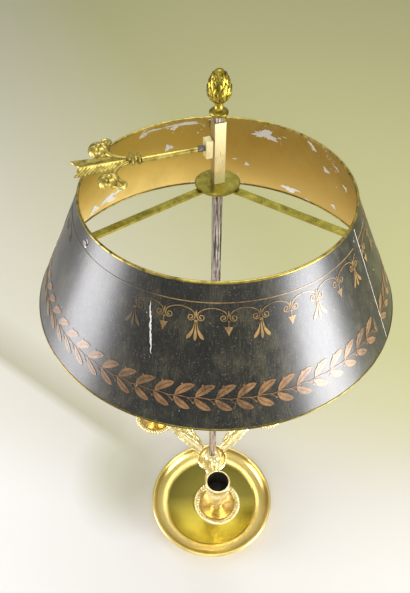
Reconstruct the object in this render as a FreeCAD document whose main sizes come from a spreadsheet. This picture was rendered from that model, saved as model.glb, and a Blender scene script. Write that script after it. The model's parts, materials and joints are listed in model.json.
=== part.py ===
import FreeCAD, Part
import math
import os
import Sketcher

# Bouillotte lamp: a dished base, a short column with three candle arms, and a square steel stem on
# which a painted sheet-metal shade slides. A screw with an arrow for a key clamps the shade's sleeve
# to the stem. Millimetres, +Z up, origin on the stem's axis at the table, -Y towards the viewer.

doc = FreeCAD.newDocument("BouillotteLamp")
sheet = doc.addObject("Spreadsheet::Sheet", "Sizes")

# Driving dimensions: alias, value, what it measures. Levels are heights above the piece below.
DRIVING = [
    ("dish_radius", 87.5, "base dish, outside of the rolled rim"),
    ("dish_height", 21.0, "base dish, table to the top of the rim"),
    ("dish_floor_radius", 64.0, "flat floor inside the dish"),
    ("dish_floor_level", 6.0, "dish floor above the table"),
    ("dish_wall", 2.4, "thickness of the dish casting"),
    ("dish_bead", 2.2, "radius of the rolled rim"),
    ("foot_ring_radius", 76.0, "outside of the ring the dish stands on"),
    ("foot_ring_width", 5.0, "width of that ring"),
    ("boss_radius", 24.0, "boss in the dish under the column"),
    ("boss_height", 6.0, "boss above the dish floor"),
    ("nut_diameter", 12.0, "stem nut across its flats"),
    ("nut_thickness", 5.0, "stem nut"),
    ("seat_thickness", 3.8, "dish metal between boss top and washer"),
    ("nut_recess_radius", 14.0, "recess under the dish for the nut"),
    ("washer_diameter", 20.0, "washer above the nut"),
    ("washer_thickness", 1.2, "washer above the nut"),
    ("spigot_diameter", 6.8, "round end of the stem, through the column"),
    ("spigot_clearance", 0.1, "radial gap round that spigot"),
    ("column_foot_height", 24.0, "spreading foot of the column"),
    ("column_foot_radius", 22.0, "spreading foot of the column"),
    ("column_shaft_length", 62.5, "baluster of the column"),
    ("column_shaft_radius", 11.0, "widest part of the baluster"),
    ("column_neck_radius", 6.5, "narrow ends of the baluster"),
    ("column_ring_height", 5.0, "loose ring between baluster and cup"),
    ("column_ring_radius", 9.5, "loose ring between baluster and cup"),
    ("cup_height", 29.0, "cup that the arms rise from"),
    ("cup_radius", 20.0, "rim of the cup"),
    ("cup_depth", 4.0, "hollow round the hub"),
    ("hub_radius", 10.5, "hub that carries the arms"),
    ("hub_height", 15.0, "hub above the cup's hollow"),
    ("arm_count_angle", 120.0, "angle from one arm to the next"),
    ("front_arm_angle", -88.0, "direction of the front arm"),
    ("arm_reach", 84.0, "stem axis to nozzle axis"),
    ("arm_root_drop", 9.0, "hub top down to the arm's root"),
    ("arm_rise", 26.5, "hub top up to the drip pan's seat"),
    ("arm_root_width", 10.0, "arm section at the hub"),
    ("arm_leaf_width", 16.0, "arm section under its leaf"),
    ("arm_end_width", 6.0, "arm section at the pan"),
    ("arm_scroll_radius", 6.0, "outer turn of the arm's scroll"),
    ("pan_radius", 27.3, "drip pan, outside of its bead"),
    ("pan_depth", 6.5, "drip pan, seat to the top of its bead"),
    ("pan_wall", 2.0, "drip pan floor"),
    ("pan_bead", 1.9, "radius of the pan's bead"),
    ("nozzle_height", 54.5, "candle nozzle above the pan's floor"),
    ("nozzle_radius", 14.1, "rim ring of the nozzle"),
    ("nozzle_bore_radius", 12.1, "candle socket"),
    ("nozzle_bore_depth", 23.0, "candle socket"),
    ("nozzle_neck_radius", 5.2, "waist under the nozzle's vase"),
    ("stud_diameter", 4.0, "stud through arm, pan and nozzle"),
    ("stem_width", 7.0, "square stem across its flats"),
    ("stem_turn", 17.7, "turn of the stem's flats about the axis"),
    ("stem_length", 490.9, "stem from the hub to the finial"),
    ("finial_radius", 9.8, "pine-cone finial"),
    ("finial_height", 38.2, "pine-cone finial"),
    ("finial_spigot_diameter", 5.0, "threaded top of the stem"),
    ("finial_spigot_length", 9.0, "threaded top of the stem"),
    ("sleeve_gap", 0.15, "slack between stem and sleeve, each side"),
    ("sleeve_wall", 0.95, "wall of the square sleeve"),
    ("sleeve_length", 57.6, "square sleeve"),
    ("sleeve_headroom", 4.5, "sleeve top to the finial"),
    ("disc_radius", 18.7, "disc on the sleeve's lower end"),
    ("disc_thickness", 3.2, "disc on the sleeve's lower end"),
    ("spoke_width", 7.0, "flat bar from disc to shade"),
    ("spoke_thickness", 2.0, "flat bar from disc to shade"),
    ("spoke_overlap", 8.0, "length of bar lapped under the disc"),
    ("spoke_tab", 9.0, "end of the bar turned down along the shade"),
    ("spoke_angle", 90.0, "direction of the back bar"),
    ("rivet_radius", 1.4, "rivet shank in bar and shade"),
    ("rivet_head_radius", 2.4, "rivet head outside the shade"),
    ("rivet_head_height", 1.1, "rivet head outside the shade"),
    ("shade_top_radius", 115.5, "shade, outside of the top edge"),
    ("shade_bottom_radius", 165.0, "shade, outside of the bottom edge"),
    ("shade_height", 105.6, "shade, edge to edge"),
    ("shade_drop", 3.8, "underside of the disc down to the shade's top edge"),
    ("shade_wall", 0.7, "sheet metal of the shade"),
    ("wire_radius", 1.2, "bead wire at both edges of the shade"),
    ("screw_diameter", 4.2, "clamp screw"),
    ("screw_gap", 0.05, "radial gap round the clamp screw"),
    ("screw_drop", 21.8, "sleeve top down to the screw's axis"),
    ("screw_tip_gap", 0.05, "screw tip to the stem"),
    ("screw_length", 14.05, "clamp screw, tip to shoulder"),
    ("screw_pin_diameter", 2.0, "pin of the screw inside the arrow"),
    ("screw_pin_length", 5.0, "pin of the screw inside the arrow"),
    ("block_depth", 6.6, "clamp block, out from the sleeve"),
    ("block_width", 8.0, "clamp block, across"),
    ("block_height", 15.0, "clamp block, upright"),
    ("arrow_shaft_length", 44.4, "arrow shaft, screw to collar"),
    ("arrow_shaft_radius", 2.1, "arrow shaft at the screw"),
    ("arrow_collar_radius", 5.2, "turned knot on the arrow"),
    ("arrow_collar_length", 11.0, "turned knot on the arrow"),
    ("feather_length", 42.0, "flat feather behind the knot"),
    ("feather_width", 22.0, "flat feather across its tips"),
    ("feather_thickness", 2.2, "flat feather"),
    ("feather_notch", 7.0, "swallow-tail notch"),
    ("scroll_offset", 22.0, "arrow axis to a rosette's centre"),
    ("scroll_along", 22.0, "collar to a rosette's centre"),
    ("scroll_wire", 1.35, "radius of the scroll stalks"),
    ("rosette_radius", 8.0, "five-petal rosette"),
    ("rosette_thickness", 5.5, "five-petal rosette"),
]
for row, (alias, value, note) in enumerate(DRIVING, start=1):
    sheet.set(f"A{row}", note)
    sheet.set(f"B{row}", str(value))
    sheet.setAlias(f"B{row}", alias)
doc.recompute()


class Size:
    """A length that carries both its value and the sheet expression that gives it."""

    def __init__(self, value, text):
        self.value = value
        self.text = text

    def __add__(self, other):
        other = as_size(other)
        return Size(self.value + other.value, f"({self.text} + {other.text})")

    def __sub__(self, other):
        other = as_size(other)
        return Size(self.value - other.value, f"({self.text} - {other.text})")

    def __mul__(self, other):
        other = as_size(other)
        return Size(self.value * other.value, f"{self.text} * {other.text}")

    def __truediv__(self, other):
        other = as_size(other)
        return Size(self.value / other.value, f"{self.text} / {other.text}")

    __radd__ = __add__
    __rmul__ = __mul__

    def __rsub__(self, other):
        return as_size(other) - self

    def __neg__(self):
        return 0 - self


def as_size(number):
    return number if isinstance(number, Size) else Size(float(number), f"({float(number)})")


D = {alias: Size(float(sheet.get(alias)), f"Sizes.{alias}") for alias, _, _ in DRIVING}


def cosine(angle):
    return Size(math.cos(math.radians(angle.value)), f"cos({angle.text} * 1 deg)")


def sine(angle):
    return Size(math.sin(math.radians(angle.value)), f"sin({angle.text} * 1 deg)")


def origin_plane(body, role):
    return next(f for f in body.Origin.OriginFeatures if f.Role == role)


def start_body(name):
    body = doc.addObject("PartDesign::Body", name)
    body.Label = name
    return body


def draw_outline(body, name, role, points):
    """A closed sketch. A point is (x, y), or (x, y, radius) when an arc leads to it from the last:
    the arc bulges to the left of its chord for a positive radius and to the right for a negative."""
    sketch = body.newObject("Sketcher::SketchObject", name)
    sketch.AttachmentSupport = [(origin_plane(body, role), "")]
    sketch.MapMode = "FlatFace"
    points = [tuple(as_size(part) for part in point) for point in points]
    for index, point in enumerate(points):
        last = points[index - 1]
        start = FreeCAD.Vector(last[0].value, last[1].value, 0)
        end = FreeCAD.Vector(point[0].value, point[1].value, 0)
        if len(point) == 2:
            sketch.addGeometry(Part.LineSegment(start, end), False)
        else:
            sketch.addGeometry(arc_between(start, end, point[2].value), False)
    for index, point in enumerate(points):
        following = (index + 1) % len(points)
        curved = len(point) == 3
        outwards = not curved or point[2].value < 0
        end_role = 2 if outwards else 1
        next_curved = len(points[following]) == 3
        next_forward = not next_curved or points[following][2].value < 0
        start_role = 1 if next_forward else 2
        sketch.addConstraint(Sketcher.Constraint("Coincident", index, end_role, following, start_role))
        for axis, coordinate in zip(("DistanceX", "DistanceY"), point[:2]):
            number = sketch.addConstraint(
                Sketcher.Constraint(axis, -1, 1, index, end_role, coordinate.value))
            sketch.setExpression(f"Constraints[{number}]", coordinate.text)
        if curved:
            radius = point[2] if point[2].value > 0 else -point[2]
            number = sketch.addConstraint(Sketcher.Constraint("Radius", index, radius.value))
            sketch.setExpression(f"Constraints[{number}]", radius.text)
    return sketch


def arc_between(start, end, radius):
    """The minor arc from start to end, turning as the sign of the radius says."""
    chord = end - start
    half = chord.Length / 2
    reach = math.sqrt(max(radius * radius - half * half, 0.0))
    left = FreeCAD.Vector(-chord.y, chord.x, 0).normalize()
    side = -1 if radius > 0 else 1
    centre = start + chord * 0.5 + left * (reach * side)
    first, last = (end, start) if radius > 0 else (start, end)
    angles = [math.atan2(p.y - centre.y, p.x - centre.x) for p in (first, last)]
    circle = Part.Circle(centre, FreeCAD.Vector(0, 0, 1), abs(radius))
    return Part.ArcOfCircle(circle, angles[0], angles[1])


def turned(name, points):
    """A piece turned about its own +Z, drawn as half its section in the XZ plane."""
    body = start_body(name)
    sketch = draw_outline(body, f"{name}_section", "XZ_Plane", points)
    spin = body.newObject("PartDesign::Revolution", f"{name}_turning")
    spin.Profile = sketch
    spin.ReferenceAxis = (sketch, ["V_Axis"])
    spin.Angle = 360.0
    body.Tip = spin
    return body


def padded(name, role, outlines, thickness, both_ways):
    """A piece cut from plate: one or more closed outlines, given one thickness."""
    body = start_body(name)
    for number, points in enumerate(outlines):
        sketch = draw_outline(body, f"{name}_outline_{number}", role, points)
        feature = "PartDesign::Pad" if number == 0 else "PartDesign::Pocket"
        pad = body.newObject(feature, f"{name}_plate_{number}")
        pad.Profile = sketch
        pad.setExpression("Length", thickness.text)
        if both_ways:
            pad.Midplane = True
        elif number:
            pad.Reversed = True
        body.Tip = pad
    return body


def cylinder(name, radius, height):
    piece = doc.addObject("Part::Cylinder", name)
    piece.setExpression("Radius", radius.text)
    piece.setExpression("Height", height.text)
    return piece


def place(piece, x=as_size(0), y=as_size(0), level=as_size(0), turn=None):
    """Bind a piece's place to the sheet; turn is about +Z, in degrees."""
    if turn is not None:
        piece.Placement.Rotation = FreeCAD.Rotation(FreeCAD.Vector(0, 0, 1), 1)
        piece.setExpression("Placement.Rotation.Angle", turn.text)
    for axis, coordinate in (("x", x), ("y", y), ("z", level)):
        piece.setExpression(f"Placement.Base.{axis}", as_size(coordinate).text)
    return piece


def cut(name, base, tools):
    """base less every tool."""
    tool = tools[0]
    if len(tools) > 1:
        tool = doc.addObject("Part::MultiFuse", f"{name}_tools")
        tool.Shapes = tools
    piece = doc.addObject("Part::Cut", name)
    piece.Label = name
    piece.Base = base
    piece.Tool = tool
    return piece


def fused(name, pieces):
    piece = doc.addObject("Part::MultiFuse", name)
    piece.Label = name
    piece.Shapes = pieces
    return piece


def free_form(name, shape):
    """A piece whose shape only code can give."""
    piece = doc.addObject("Part::Feature", name)
    piece.Label = name
    piece.Shape = shape
    return piece


def square(width):
    half = width / 2
    return [(-half, -half), (half, -half), (half, half), (-half, half)]


def around(angle, radius, level):
    """A point by its direction from the axis in degrees, its radius and its level."""
    turn = math.radians(angle)
    return FreeCAD.Vector(radius * math.cos(turn), radius * math.sin(turn), level)


# Levels on the stem's axis, from the table up.
spigot_bore = D["spigot_diameter"] / 2 + D["spigot_clearance"]
boss_level = D["dish_floor_level"] + D["boss_height"]
nut_seat_level = boss_level - D["seat_thickness"]
column_foot_top = boss_level + D["column_foot_height"]
column_shaft_top = column_foot_top + D["column_shaft_length"]
column_ring_top = column_shaft_top + D["column_ring_height"]
cup_top = column_ring_top + D["cup_height"]
hub_level = cup_top - D["cup_depth"]
hub_top = hub_level + D["hub_height"]
pan_seat_level = hub_top + D["arm_rise"]
pan_floor_level = pan_seat_level + D["pan_wall"]
stem_top = hub_top + D["stem_length"]
sleeve_top = stem_top - D["sleeve_headroom"]
disc_level = sleeve_top - D["sleeve_length"]
shade_top_level = disc_level - D["shade_drop"]
shade_bottom_level = shade_top_level - D["shade_height"]
screw_level = sleeve_top - D["screw_drop"]


def make_base_dish():
    """Cast dish on a foot ring, with a rolled rim and a stepped boss under the column."""
    under_level = D["dish_floor_level"] - D["dish_wall"]
    foot_inside = D["foot_ring_radius"] - D["foot_ring_width"]
    bead = D["dish_bead"]
    bead_x = D["dish_radius"] - bead
    bead_z = D["dish_height"] - bead
    diagonal = bead * math.sqrt(0.5)
    step = 1.6
    return turned("base_dish", [
        (spigot_bore, nut_seat_level),
        (D["nut_recess_radius"], nut_seat_level),
        (D["nut_recess_radius"] + 2, under_level),
        (foot_inside, under_level),
        (foot_inside, as_size(0)),
        (D["foot_ring_radius"], as_size(0)),
        (D["foot_ring_radius"] + 0.8, under_level),
        (bead_x - diagonal, bead_z - diagonal, as_size(22)),
        (bead_x + bead, bead_z, -bead),
        (bead_x, bead_z + bead, -bead),
        (bead_x - bead, bead_z, -bead),
        (D["dish_floor_radius"] + 4, D["dish_floor_level"] + step, as_size(15)),
        (D["dish_floor_radius"] + 2, D["dish_floor_level"] + step),
        (D["dish_floor_radius"], D["dish_floor_level"]),
        (D["boss_radius"] + 3, D["dish_floor_level"]),
        (D["boss_radius"] + 3, D["dish_floor_level"] + D["boss_height"] / 2),
        (D["boss_radius"], D["dish_floor_level"] + D["boss_height"] / 2),
        (D["boss_radius"], boss_level),
        (spigot_bore, boss_level),
    ])


def make_column():
    """Foot, baluster, ring, cup and hub, threaded one above another on the stem's round end."""
    height = D["column_foot_height"]
    radius = D["column_foot_radius"]
    neck = D["column_neck_radius"]
    foot = turned("column_foot", [
        (spigot_bore, as_size(0)),
        (radius, as_size(0)),
        (radius, height * 0.1),
        (radius - 2, height * 0.17),
        (neck + 3, height * 0.72, as_size(17)),
        (neck + 4, height * 0.8),
        (neck + 4, height * 0.88),
        (neck, height),
        (spigot_bore, height),
    ])
    place(foot, level=boss_level)
    length = D["column_shaft_length"]
    belly = D["column_shaft_radius"]
    shaft = turned("column_shaft", [
        (spigot_bore, as_size(0)),
        (neck, as_size(0)),
        (neck + 1.6, length * 0.03),
        (neck + 1.6, length * 0.07),
        (neck, length * 0.1),
        (belly, length * 0.5, as_size(-80)),
        (neck, length * 0.9, as_size(-80)),
        (neck + 1.6, length * 0.93),
        (neck + 1.6, length * 0.97),
        (neck, length),
        (spigot_bore, length),
    ])
    place(shaft, level=column_foot_top)
    ring_height = D["column_ring_height"]
    ring_edge = D["column_ring_radius"] - 2
    ring = turned("column_ring", [
        (spigot_bore, as_size(0)),
        (ring_edge, as_size(0)),
        (ring_edge, ring_height, -(ring_height / 2 + 0.1)),
        (spigot_bore, ring_height),
    ])
    place(ring, level=column_shaft_top)
    cup_height = D["cup_height"]
    cup_radius = D["cup_radius"]
    cup = turned("column_cup", [
        (spigot_bore, as_size(0)),
        (ring_edge, as_size(0)),
        (cup_radius * 0.78, cup_height * 0.72, as_size(26)),
        (cup_radius - 1.2, cup_height - 2.4),
        (cup_radius, cup_height - 1.2),
        (cup_radius - 0.8, cup_height),
        (cup_radius - 2, cup_height),
        (cup_radius - 3.5, cup_height - D["cup_depth"]),
        (spigot_bore, cup_height - D["cup_depth"]),
    ])
    place(cup, level=column_ring_top)
    hub_height = D["hub_height"]
    shoulder = D["stem_width"] * 0.75
    hub = turned("arm_hub", [
        (spigot_bore, as_size(0)),
        (D["hub_radius"], as_size(0)),
        (D["hub_radius"], hub_height * 0.78),
        (shoulder, hub_height, as_size(-9)),
        (spigot_bore, hub_height),
    ])
    place(hub, level=hub_level)
    return [foot, shaft, ring, cup, hub]


def make_stem():
    """Square bar with a round end through the column and a threaded end for the finial."""
    bar = padded("stem_square", "XY_Plane", [square(D["stem_width"])], D["stem_length"], False)
    place(bar, level=hub_top, turn=D["stem_turn"])
    spigot_bottom = nut_seat_level - D["washer_thickness"] - D["nut_thickness"]
    spigot = cylinder("stem_spigot", D["spigot_diameter"] / 2, hub_top - spigot_bottom)
    place(spigot, level=spigot_bottom)
    tip = cylinder("stem_tip", D["finial_spigot_diameter"] / 2, D["finial_spigot_length"])
    place(tip, level=stem_top)
    washer_level = nut_seat_level - D["washer_thickness"]
    washer = cut("base_washer",
                 place(cylinder("washer_blank", D["washer_diameter"] / 2, D["washer_thickness"]),
                       level=washer_level),
                 [place(cylinder("washer_hole", spigot_bore, D["washer_thickness"]),
                        level=washer_level)])
    hexagon = doc.addObject("Part::Prism", "nut_blank")
    hexagon.Polygon = 6
    hexagon.setExpression("Circumradius", (D["nut_diameter"] / math.sqrt(3)).text)
    hexagon.setExpression("Height", D["nut_thickness"].text)
    place(hexagon, level=spigot_bottom)
    nut = cut("base_nut", hexagon,
              [place(cylinder("nut_hole", spigot_bore, D["nut_thickness"]), level=spigot_bottom)])
    return [fused("stem_bar", [bar, spigot, tip]), washer, nut]


def pipe_through(points, first_heading, widths):
    """A round rod through points (x, z) in the XZ plane: tangent arcs, its width changing evenly
    from one given width to the next. The heading is in degrees above +X."""
    heading = first_heading
    edges = []
    stations = [(points[0], heading)]
    for start, end in zip(points, points[1:]):
        dx, dz = end[0] - start[0], end[1] - start[1]
        chord = math.degrees(math.atan2(dz, dx))
        bend = (chord - heading + 180) % 360 - 180
        sag = math.hypot(dx, dz) / 2 * math.tan(math.radians(bend) / 2)
        middle = FreeCAD.Vector((start[0] + end[0]) / 2 + sag * math.sin(math.radians(chord)), 0,
                                (start[1] + end[1]) / 2 - sag * math.cos(math.radians(chord)))
        edges.append(Part.Arc(FreeCAD.Vector(start[0], 0, start[1]), middle,
                              FreeCAD.Vector(end[0], 0, end[1])).toShape())
        heading = heading + 2 * bend
        stations.append((end, heading))
    rings = []
    for (point, direction), width in zip(stations, widths):
        normal = FreeCAD.Vector(math.cos(math.radians(direction)), 0, math.sin(math.radians(direction)))
        circle = Part.Circle(FreeCAD.Vector(point[0], 0, point[1]), normal, width / 2)
        rings.append(Part.Wire([circle.toShape()]))
    return Part.Wire(edges).makePipeShell(rings, True, True)


def arm_blank():
    """One S-shaped arm along +X: hub to the seat of its drip pan, with a scroll on its back."""
    root_x = D["hub_radius"].value - 2
    root_z = (hub_top - D["arm_root_drop"]).value
    reach = D["arm_reach"].value
    seat = pan_seat_level.value
    rise = seat - root_z
    run = reach - root_x
    end_boss = D["stud_diameter"].value + 1.4
    body = pipe_through(
        [(root_x, root_z + rise * 0.06), (root_x + run * 0.245, root_z + rise * 0.49),
         (root_x + run * 0.47, root_z + rise * 0.75), (root_x + run * 0.71, root_z + rise * 0.82),
         (reach, seat - 1.0)],
        42,
        [D["arm_root_width"].value, D["arm_leaf_width"].value, D["arm_leaf_width"].value * 0.9,
         D["arm_end_width"].value * 1.35, D["arm_end_width"].value])
    curl = D["arm_scroll_radius"].value
    curl_x = root_x + run * 0.32
    curl_z = root_z + rise * 1.21
    scroll = pipe_through(
        [(root_x + run * 0.2, root_z + rise * 0.5), (curl_x - curl, curl_z),
         (curl_x + curl, curl_z), (curl_x - curl * 0.4, curl_z)],
        70, [3.6, 3.4, 3.2, 2.6])
    eye = Part.makeSphere(curl * 0.42, FreeCAD.Vector(curl_x, 0, curl_z))
    boss = Part.makeCylinder(end_boss, seat - 6 - (seat - 14), FreeCAD.Vector(reach, 0, seat - 8))
    hub = Part.makeCylinder(D["hub_radius"].value, D["hub_height"].value * 2,
                            FreeCAD.Vector(0, 0, hub_level.value))
    stud_hole = Part.makeCylinder(D["stud_diameter"].value / 2 + 0.05, 9,
                                  FreeCAD.Vector(reach, 0, seat - 8.5))
    above = Part.makeBox(60, 60, 40, FreeCAD.Vector(reach - 30, -30, seat))
    return body.multiFuse([scroll, eye, boss]).cut(hub).cut(stud_hole).cut(above).removeSplitter()


def make_arms():
    """Three arms with a drip pan, a candle nozzle and the stud that holds them together."""
    blank = arm_blank()
    pieces = []
    for index, side in enumerate(("front", "right", "left")):
        turn = D["front_arm_angle"] + D["arm_count_angle"] * index
        arm = free_form(f"arm_{side}", blank)
        place(arm, turn=turn)
        x, y = D["arm_reach"] * cosine(turn), D["arm_reach"] * sine(turn)
        pan = make_drip_pan(side)
        place(pan, x, y, pan_seat_level)
        nozzle = make_nozzle(side)
        place(nozzle, x, y, pan_floor_level)
        stud = cylinder(f"arm_stud_{side}", D["stud_diameter"] / 2, as_size(20))
        stud.Label = f"arm_stud_{side}"
        place(stud, x, y, pan_seat_level - 8)
        pieces += [arm, pan, nozzle, stud]
    return pieces


def make_drip_pan(side):
    bore = D["stud_diameter"] / 2 + 0.05
    bead = D["pan_bead"]
    bead_x = D["pan_radius"] - bead
    bead_z = D["pan_depth"] - bead
    diagonal = bead * math.sqrt(0.5)
    return turned(f"drip_pan_{side}", [
        (bore, as_size(0)),
        (D["arm_end_width"], as_size(0)),
        (bead_x - diagonal, bead_z - diagonal, as_size(-60)),
        (bead_x + bead, bead_z, -bead),
        (bead_x, bead_z + bead, -bead),
        (bead_x - bead, bead_z, -bead),
        (bead_x - 9, D["pan_wall"], as_size(12)),
        (bore, D["pan_wall"]),
    ])


def make_nozzle(side):
    bore = D["stud_diameter"] / 2 + 0.05
    height = D["nozzle_height"]
    neck = D["nozzle_neck_radius"]
    wall = D["nozzle_bore_radius"] + 0.9
    return turned(f"candle_nozzle_{side}", [
        (bore, as_size(0)),
        (neck + 1.2, as_size(0)),
        (neck + 1.2, height * 0.02),
        (neck, height * 0.05),
        (neck + 5, height * 0.25, as_size(-18)),
        (wall, height * 0.57, as_size(-90)),
        (wall + 0.3, height - 2.6),
        (D["nozzle_radius"], height - 2.0),
        (D["nozzle_radius"], height - 0.6),
        (D["nozzle_radius"] - 0.6, height),
        (D["nozzle_bore_radius"], height),
        (D["nozzle_bore_radius"], height - D["nozzle_bore_depth"]),
        (bore, height - D["nozzle_bore_depth"]),
    ])


def cone_scale(angle, radius, level, width, height, stand_out):
    """One pointed scale of the pine cone: a pyramid whose foot is sunk in the core."""
    side = math.degrees(width / 2 / radius)
    sunk = radius - 2.2
    foot = [around(angle, sunk, level - height / 2), around(angle + side, sunk, level),
            around(angle, sunk, level + height / 2), around(angle - side, sunk, level)]
    tip = around(angle, radius + stand_out, level + height * 0.22)
    faces = [Part.Face(Part.makePolygon([foot[i], foot[(i + 1) % 4], tip, foot[i]]))
             for i in range(4)]
    faces += [Part.Face(Part.makePolygon([foot[0], foot[1], foot[2], foot[0]])),
              Part.Face(Part.makePolygon([foot[0], foot[2], foot[3], foot[0]]))]
    solid = Part.makeSolid(Part.makeShell(faces))
    if solid.Volume < 0:
        solid.reverse()
    return solid


# Rows of scales from the calyx up: the row's radius as a share of the cone's, and its number of scales.
CONE_ROWS = ((0.86, 10), (0.84, 10), (0.80, 10), (0.74, 9), (0.68, 9), (0.58, 8), (0.42, 6))


def make_finial():
    """Pine cone on a small turned foot, screwed on the top of the stem."""
    height = D["finial_height"]
    radius = D["finial_radius"]
    core = turned("finial_core", [
        (as_size(0), as_size(0)),
        (radius * 0.56, as_size(0)),
        (radius * 0.76, height * 0.06),
        (radius * 0.76, height * 0.09),
        (radius * 0.54, height * 0.13),
        (radius * 0.36, height * 0.19, as_size(3)),
        (radius * 0.84, height * 0.34, as_size(-9)),
        (radius * 0.94, height * 0.45, as_size(-9)),
        (radius * 0.84, height * 0.48),
        (radius * 0.64, height * 0.75, as_size(-24)),
        (radius * 0.2, height * 0.95, as_size(-8)),
        (as_size(0), height * 0.95),
    ])
    place(core, level=stem_top)
    doc.recompute()
    rows = len(CONE_ROWS)
    foot = stem_top.value + height.value * 0.46
    tall = height.value * 0.46
    scales = []
    for row in range(rows):
        part_way = row / (rows - 1)
        swell, count = CONE_ROWS[row]
        for index in range(count):
            angle = 360.0 / count * (index + row % 2 / 2)
            row_radius = radius.value * swell
            scales.append(cone_scale(angle, row_radius, foot + tall * part_way,
                                     2 * math.pi * row_radius / count * 1.15,
                                     tall / rows * 2.3, radius.value * 0.12))
    bore = Part.makeCylinder(D["finial_spigot_diameter"].value / 2,
                             D["finial_spigot_length"].value,
                             FreeCAD.Vector(0, 0, stem_top.value))
    tip = Part.makeCone(2.6, 0.9, height.value * 0.06,
                        FreeCAD.Vector(0, 0, stem_top.value + height.value * 0.92))
    return free_form("finial", core.Shape.multiFuse(scales + [tip]).cut(bore))


def screw_frame(along):
    """Placement whose +Z runs outwards along the screw and whose +Y is up."""
    heading = D["stem_turn"].value - 180
    turn = FreeCAD.Rotation(FreeCAD.Vector(0, 0, 1), heading + 90)
    lie = FreeCAD.Rotation(FreeCAD.Vector(1, 0, 0), 90)
    return FreeCAD.Placement(around(heading, along, screw_level.value), turn.multiply(lie))


# Distances out along the screw, from the stem's axis.
sleeve_half = D["stem_width"] / 2 + D["sleeve_gap"] + D["sleeve_wall"]
screw_tip = D["stem_width"] / 2 + D["screw_tip_gap"]
arrow_start = screw_tip + D["screw_length"]
collar_start = arrow_start + D["arrow_shaft_length"]
feather_start = collar_start + D["arrow_collar_length"]


def make_clamp():
    """Sleeve, its clamp block and the screw that bears on the stem."""
    hole = cylinder("screw_hole", D["screw_diameter"] / 2 + D["screw_gap"],
                    sleeve_half + D["block_depth"])
    hole.Placement = screw_frame(0)
    inside = D["stem_width"] + D["sleeve_gap"] * 2
    tube = padded("sleeve_tube", "XY_Plane", [square(sleeve_half * 2), square(inside)],
                  D["sleeve_length"], False)
    place(tube, level=disc_level, turn=D["stem_turn"])
    sleeve = cut("slide_sleeve", tube, [hole])
    half = D["block_width"] / 2
    block_blank = padded("clamp_blank", "XY_Plane", [[
        (-sleeve_half - D["block_depth"], -half), (-sleeve_half, -half),
        (-sleeve_half, half), (-sleeve_half - D["block_depth"], half)]], D["block_height"], False)
    place(block_blank, level=screw_level - D["block_height"] / 2, turn=D["stem_turn"])
    block = cut("clamp_block", block_blank, [hole])
    shank = cylinder("screw_shank", D["screw_diameter"] / 2, D["screw_length"])
    shank.Placement = screw_frame(screw_tip.value)
    pin = cylinder("screw_pin", D["screw_pin_diameter"] / 2, D["screw_pin_length"])
    pin.Placement = screw_frame(arrow_start.value)
    return [sleeve, block, fused("clamp_screw", [shank, pin])]


def make_hub_disc():
    edge = D["disc_thickness"] / 4
    blank = turned("disc_blank", [
        (as_size(0), as_size(0)),
        (D["disc_radius"] - edge, as_size(0)),
        (D["disc_radius"], edge),
        (D["disc_radius"], D["disc_thickness"] - edge),
        (D["disc_radius"] - edge, D["disc_thickness"]),
        (as_size(0), D["disc_thickness"]),
    ])
    place(blank, level=disc_level)
    hole = padded("disc_hole", "XY_Plane", [square(sleeve_half * 2)], D["disc_thickness"], False)
    place(hole, level=disc_level, turn=D["stem_turn"])
    return cut("hub_disc", blank, [hole])


# The shade's wall runs down and out; these give it as a slope and a thickness across.
shade_slope = (D["shade_bottom_radius"] - D["shade_top_radius"]) / D["shade_height"]
wall_across = D["shade_wall"] * math.sqrt(1 + shade_slope.value ** 2)
SPOKE_ANGLES = (D["spoke_angle"], D["spoke_angle"] + 120, D["spoke_angle"] + 240)
SPOKE_SIDES = ("back", "left", "right")


def wall_frame(angle, drop, inwards):
    """Placement on the shade's outer face, +Z square to the face and pointing out of it."""
    lean = math.degrees(math.atan(shade_slope.value))
    out = D["shade_top_radius"].value + drop * shade_slope.value
    point = around(angle, out, shade_top_level.value - drop)
    turn = FreeCAD.Rotation(FreeCAD.Vector(0, 0, 1), angle)
    tilt = FreeCAD.Rotation(FreeCAD.Vector(0, 1, 0), 90 - lean)
    spin = turn.multiply(tilt)
    normal = spin.multVec(FreeCAD.Vector(0, 0, 1))
    return FreeCAD.Placement(point - normal * inwards, spin)


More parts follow.
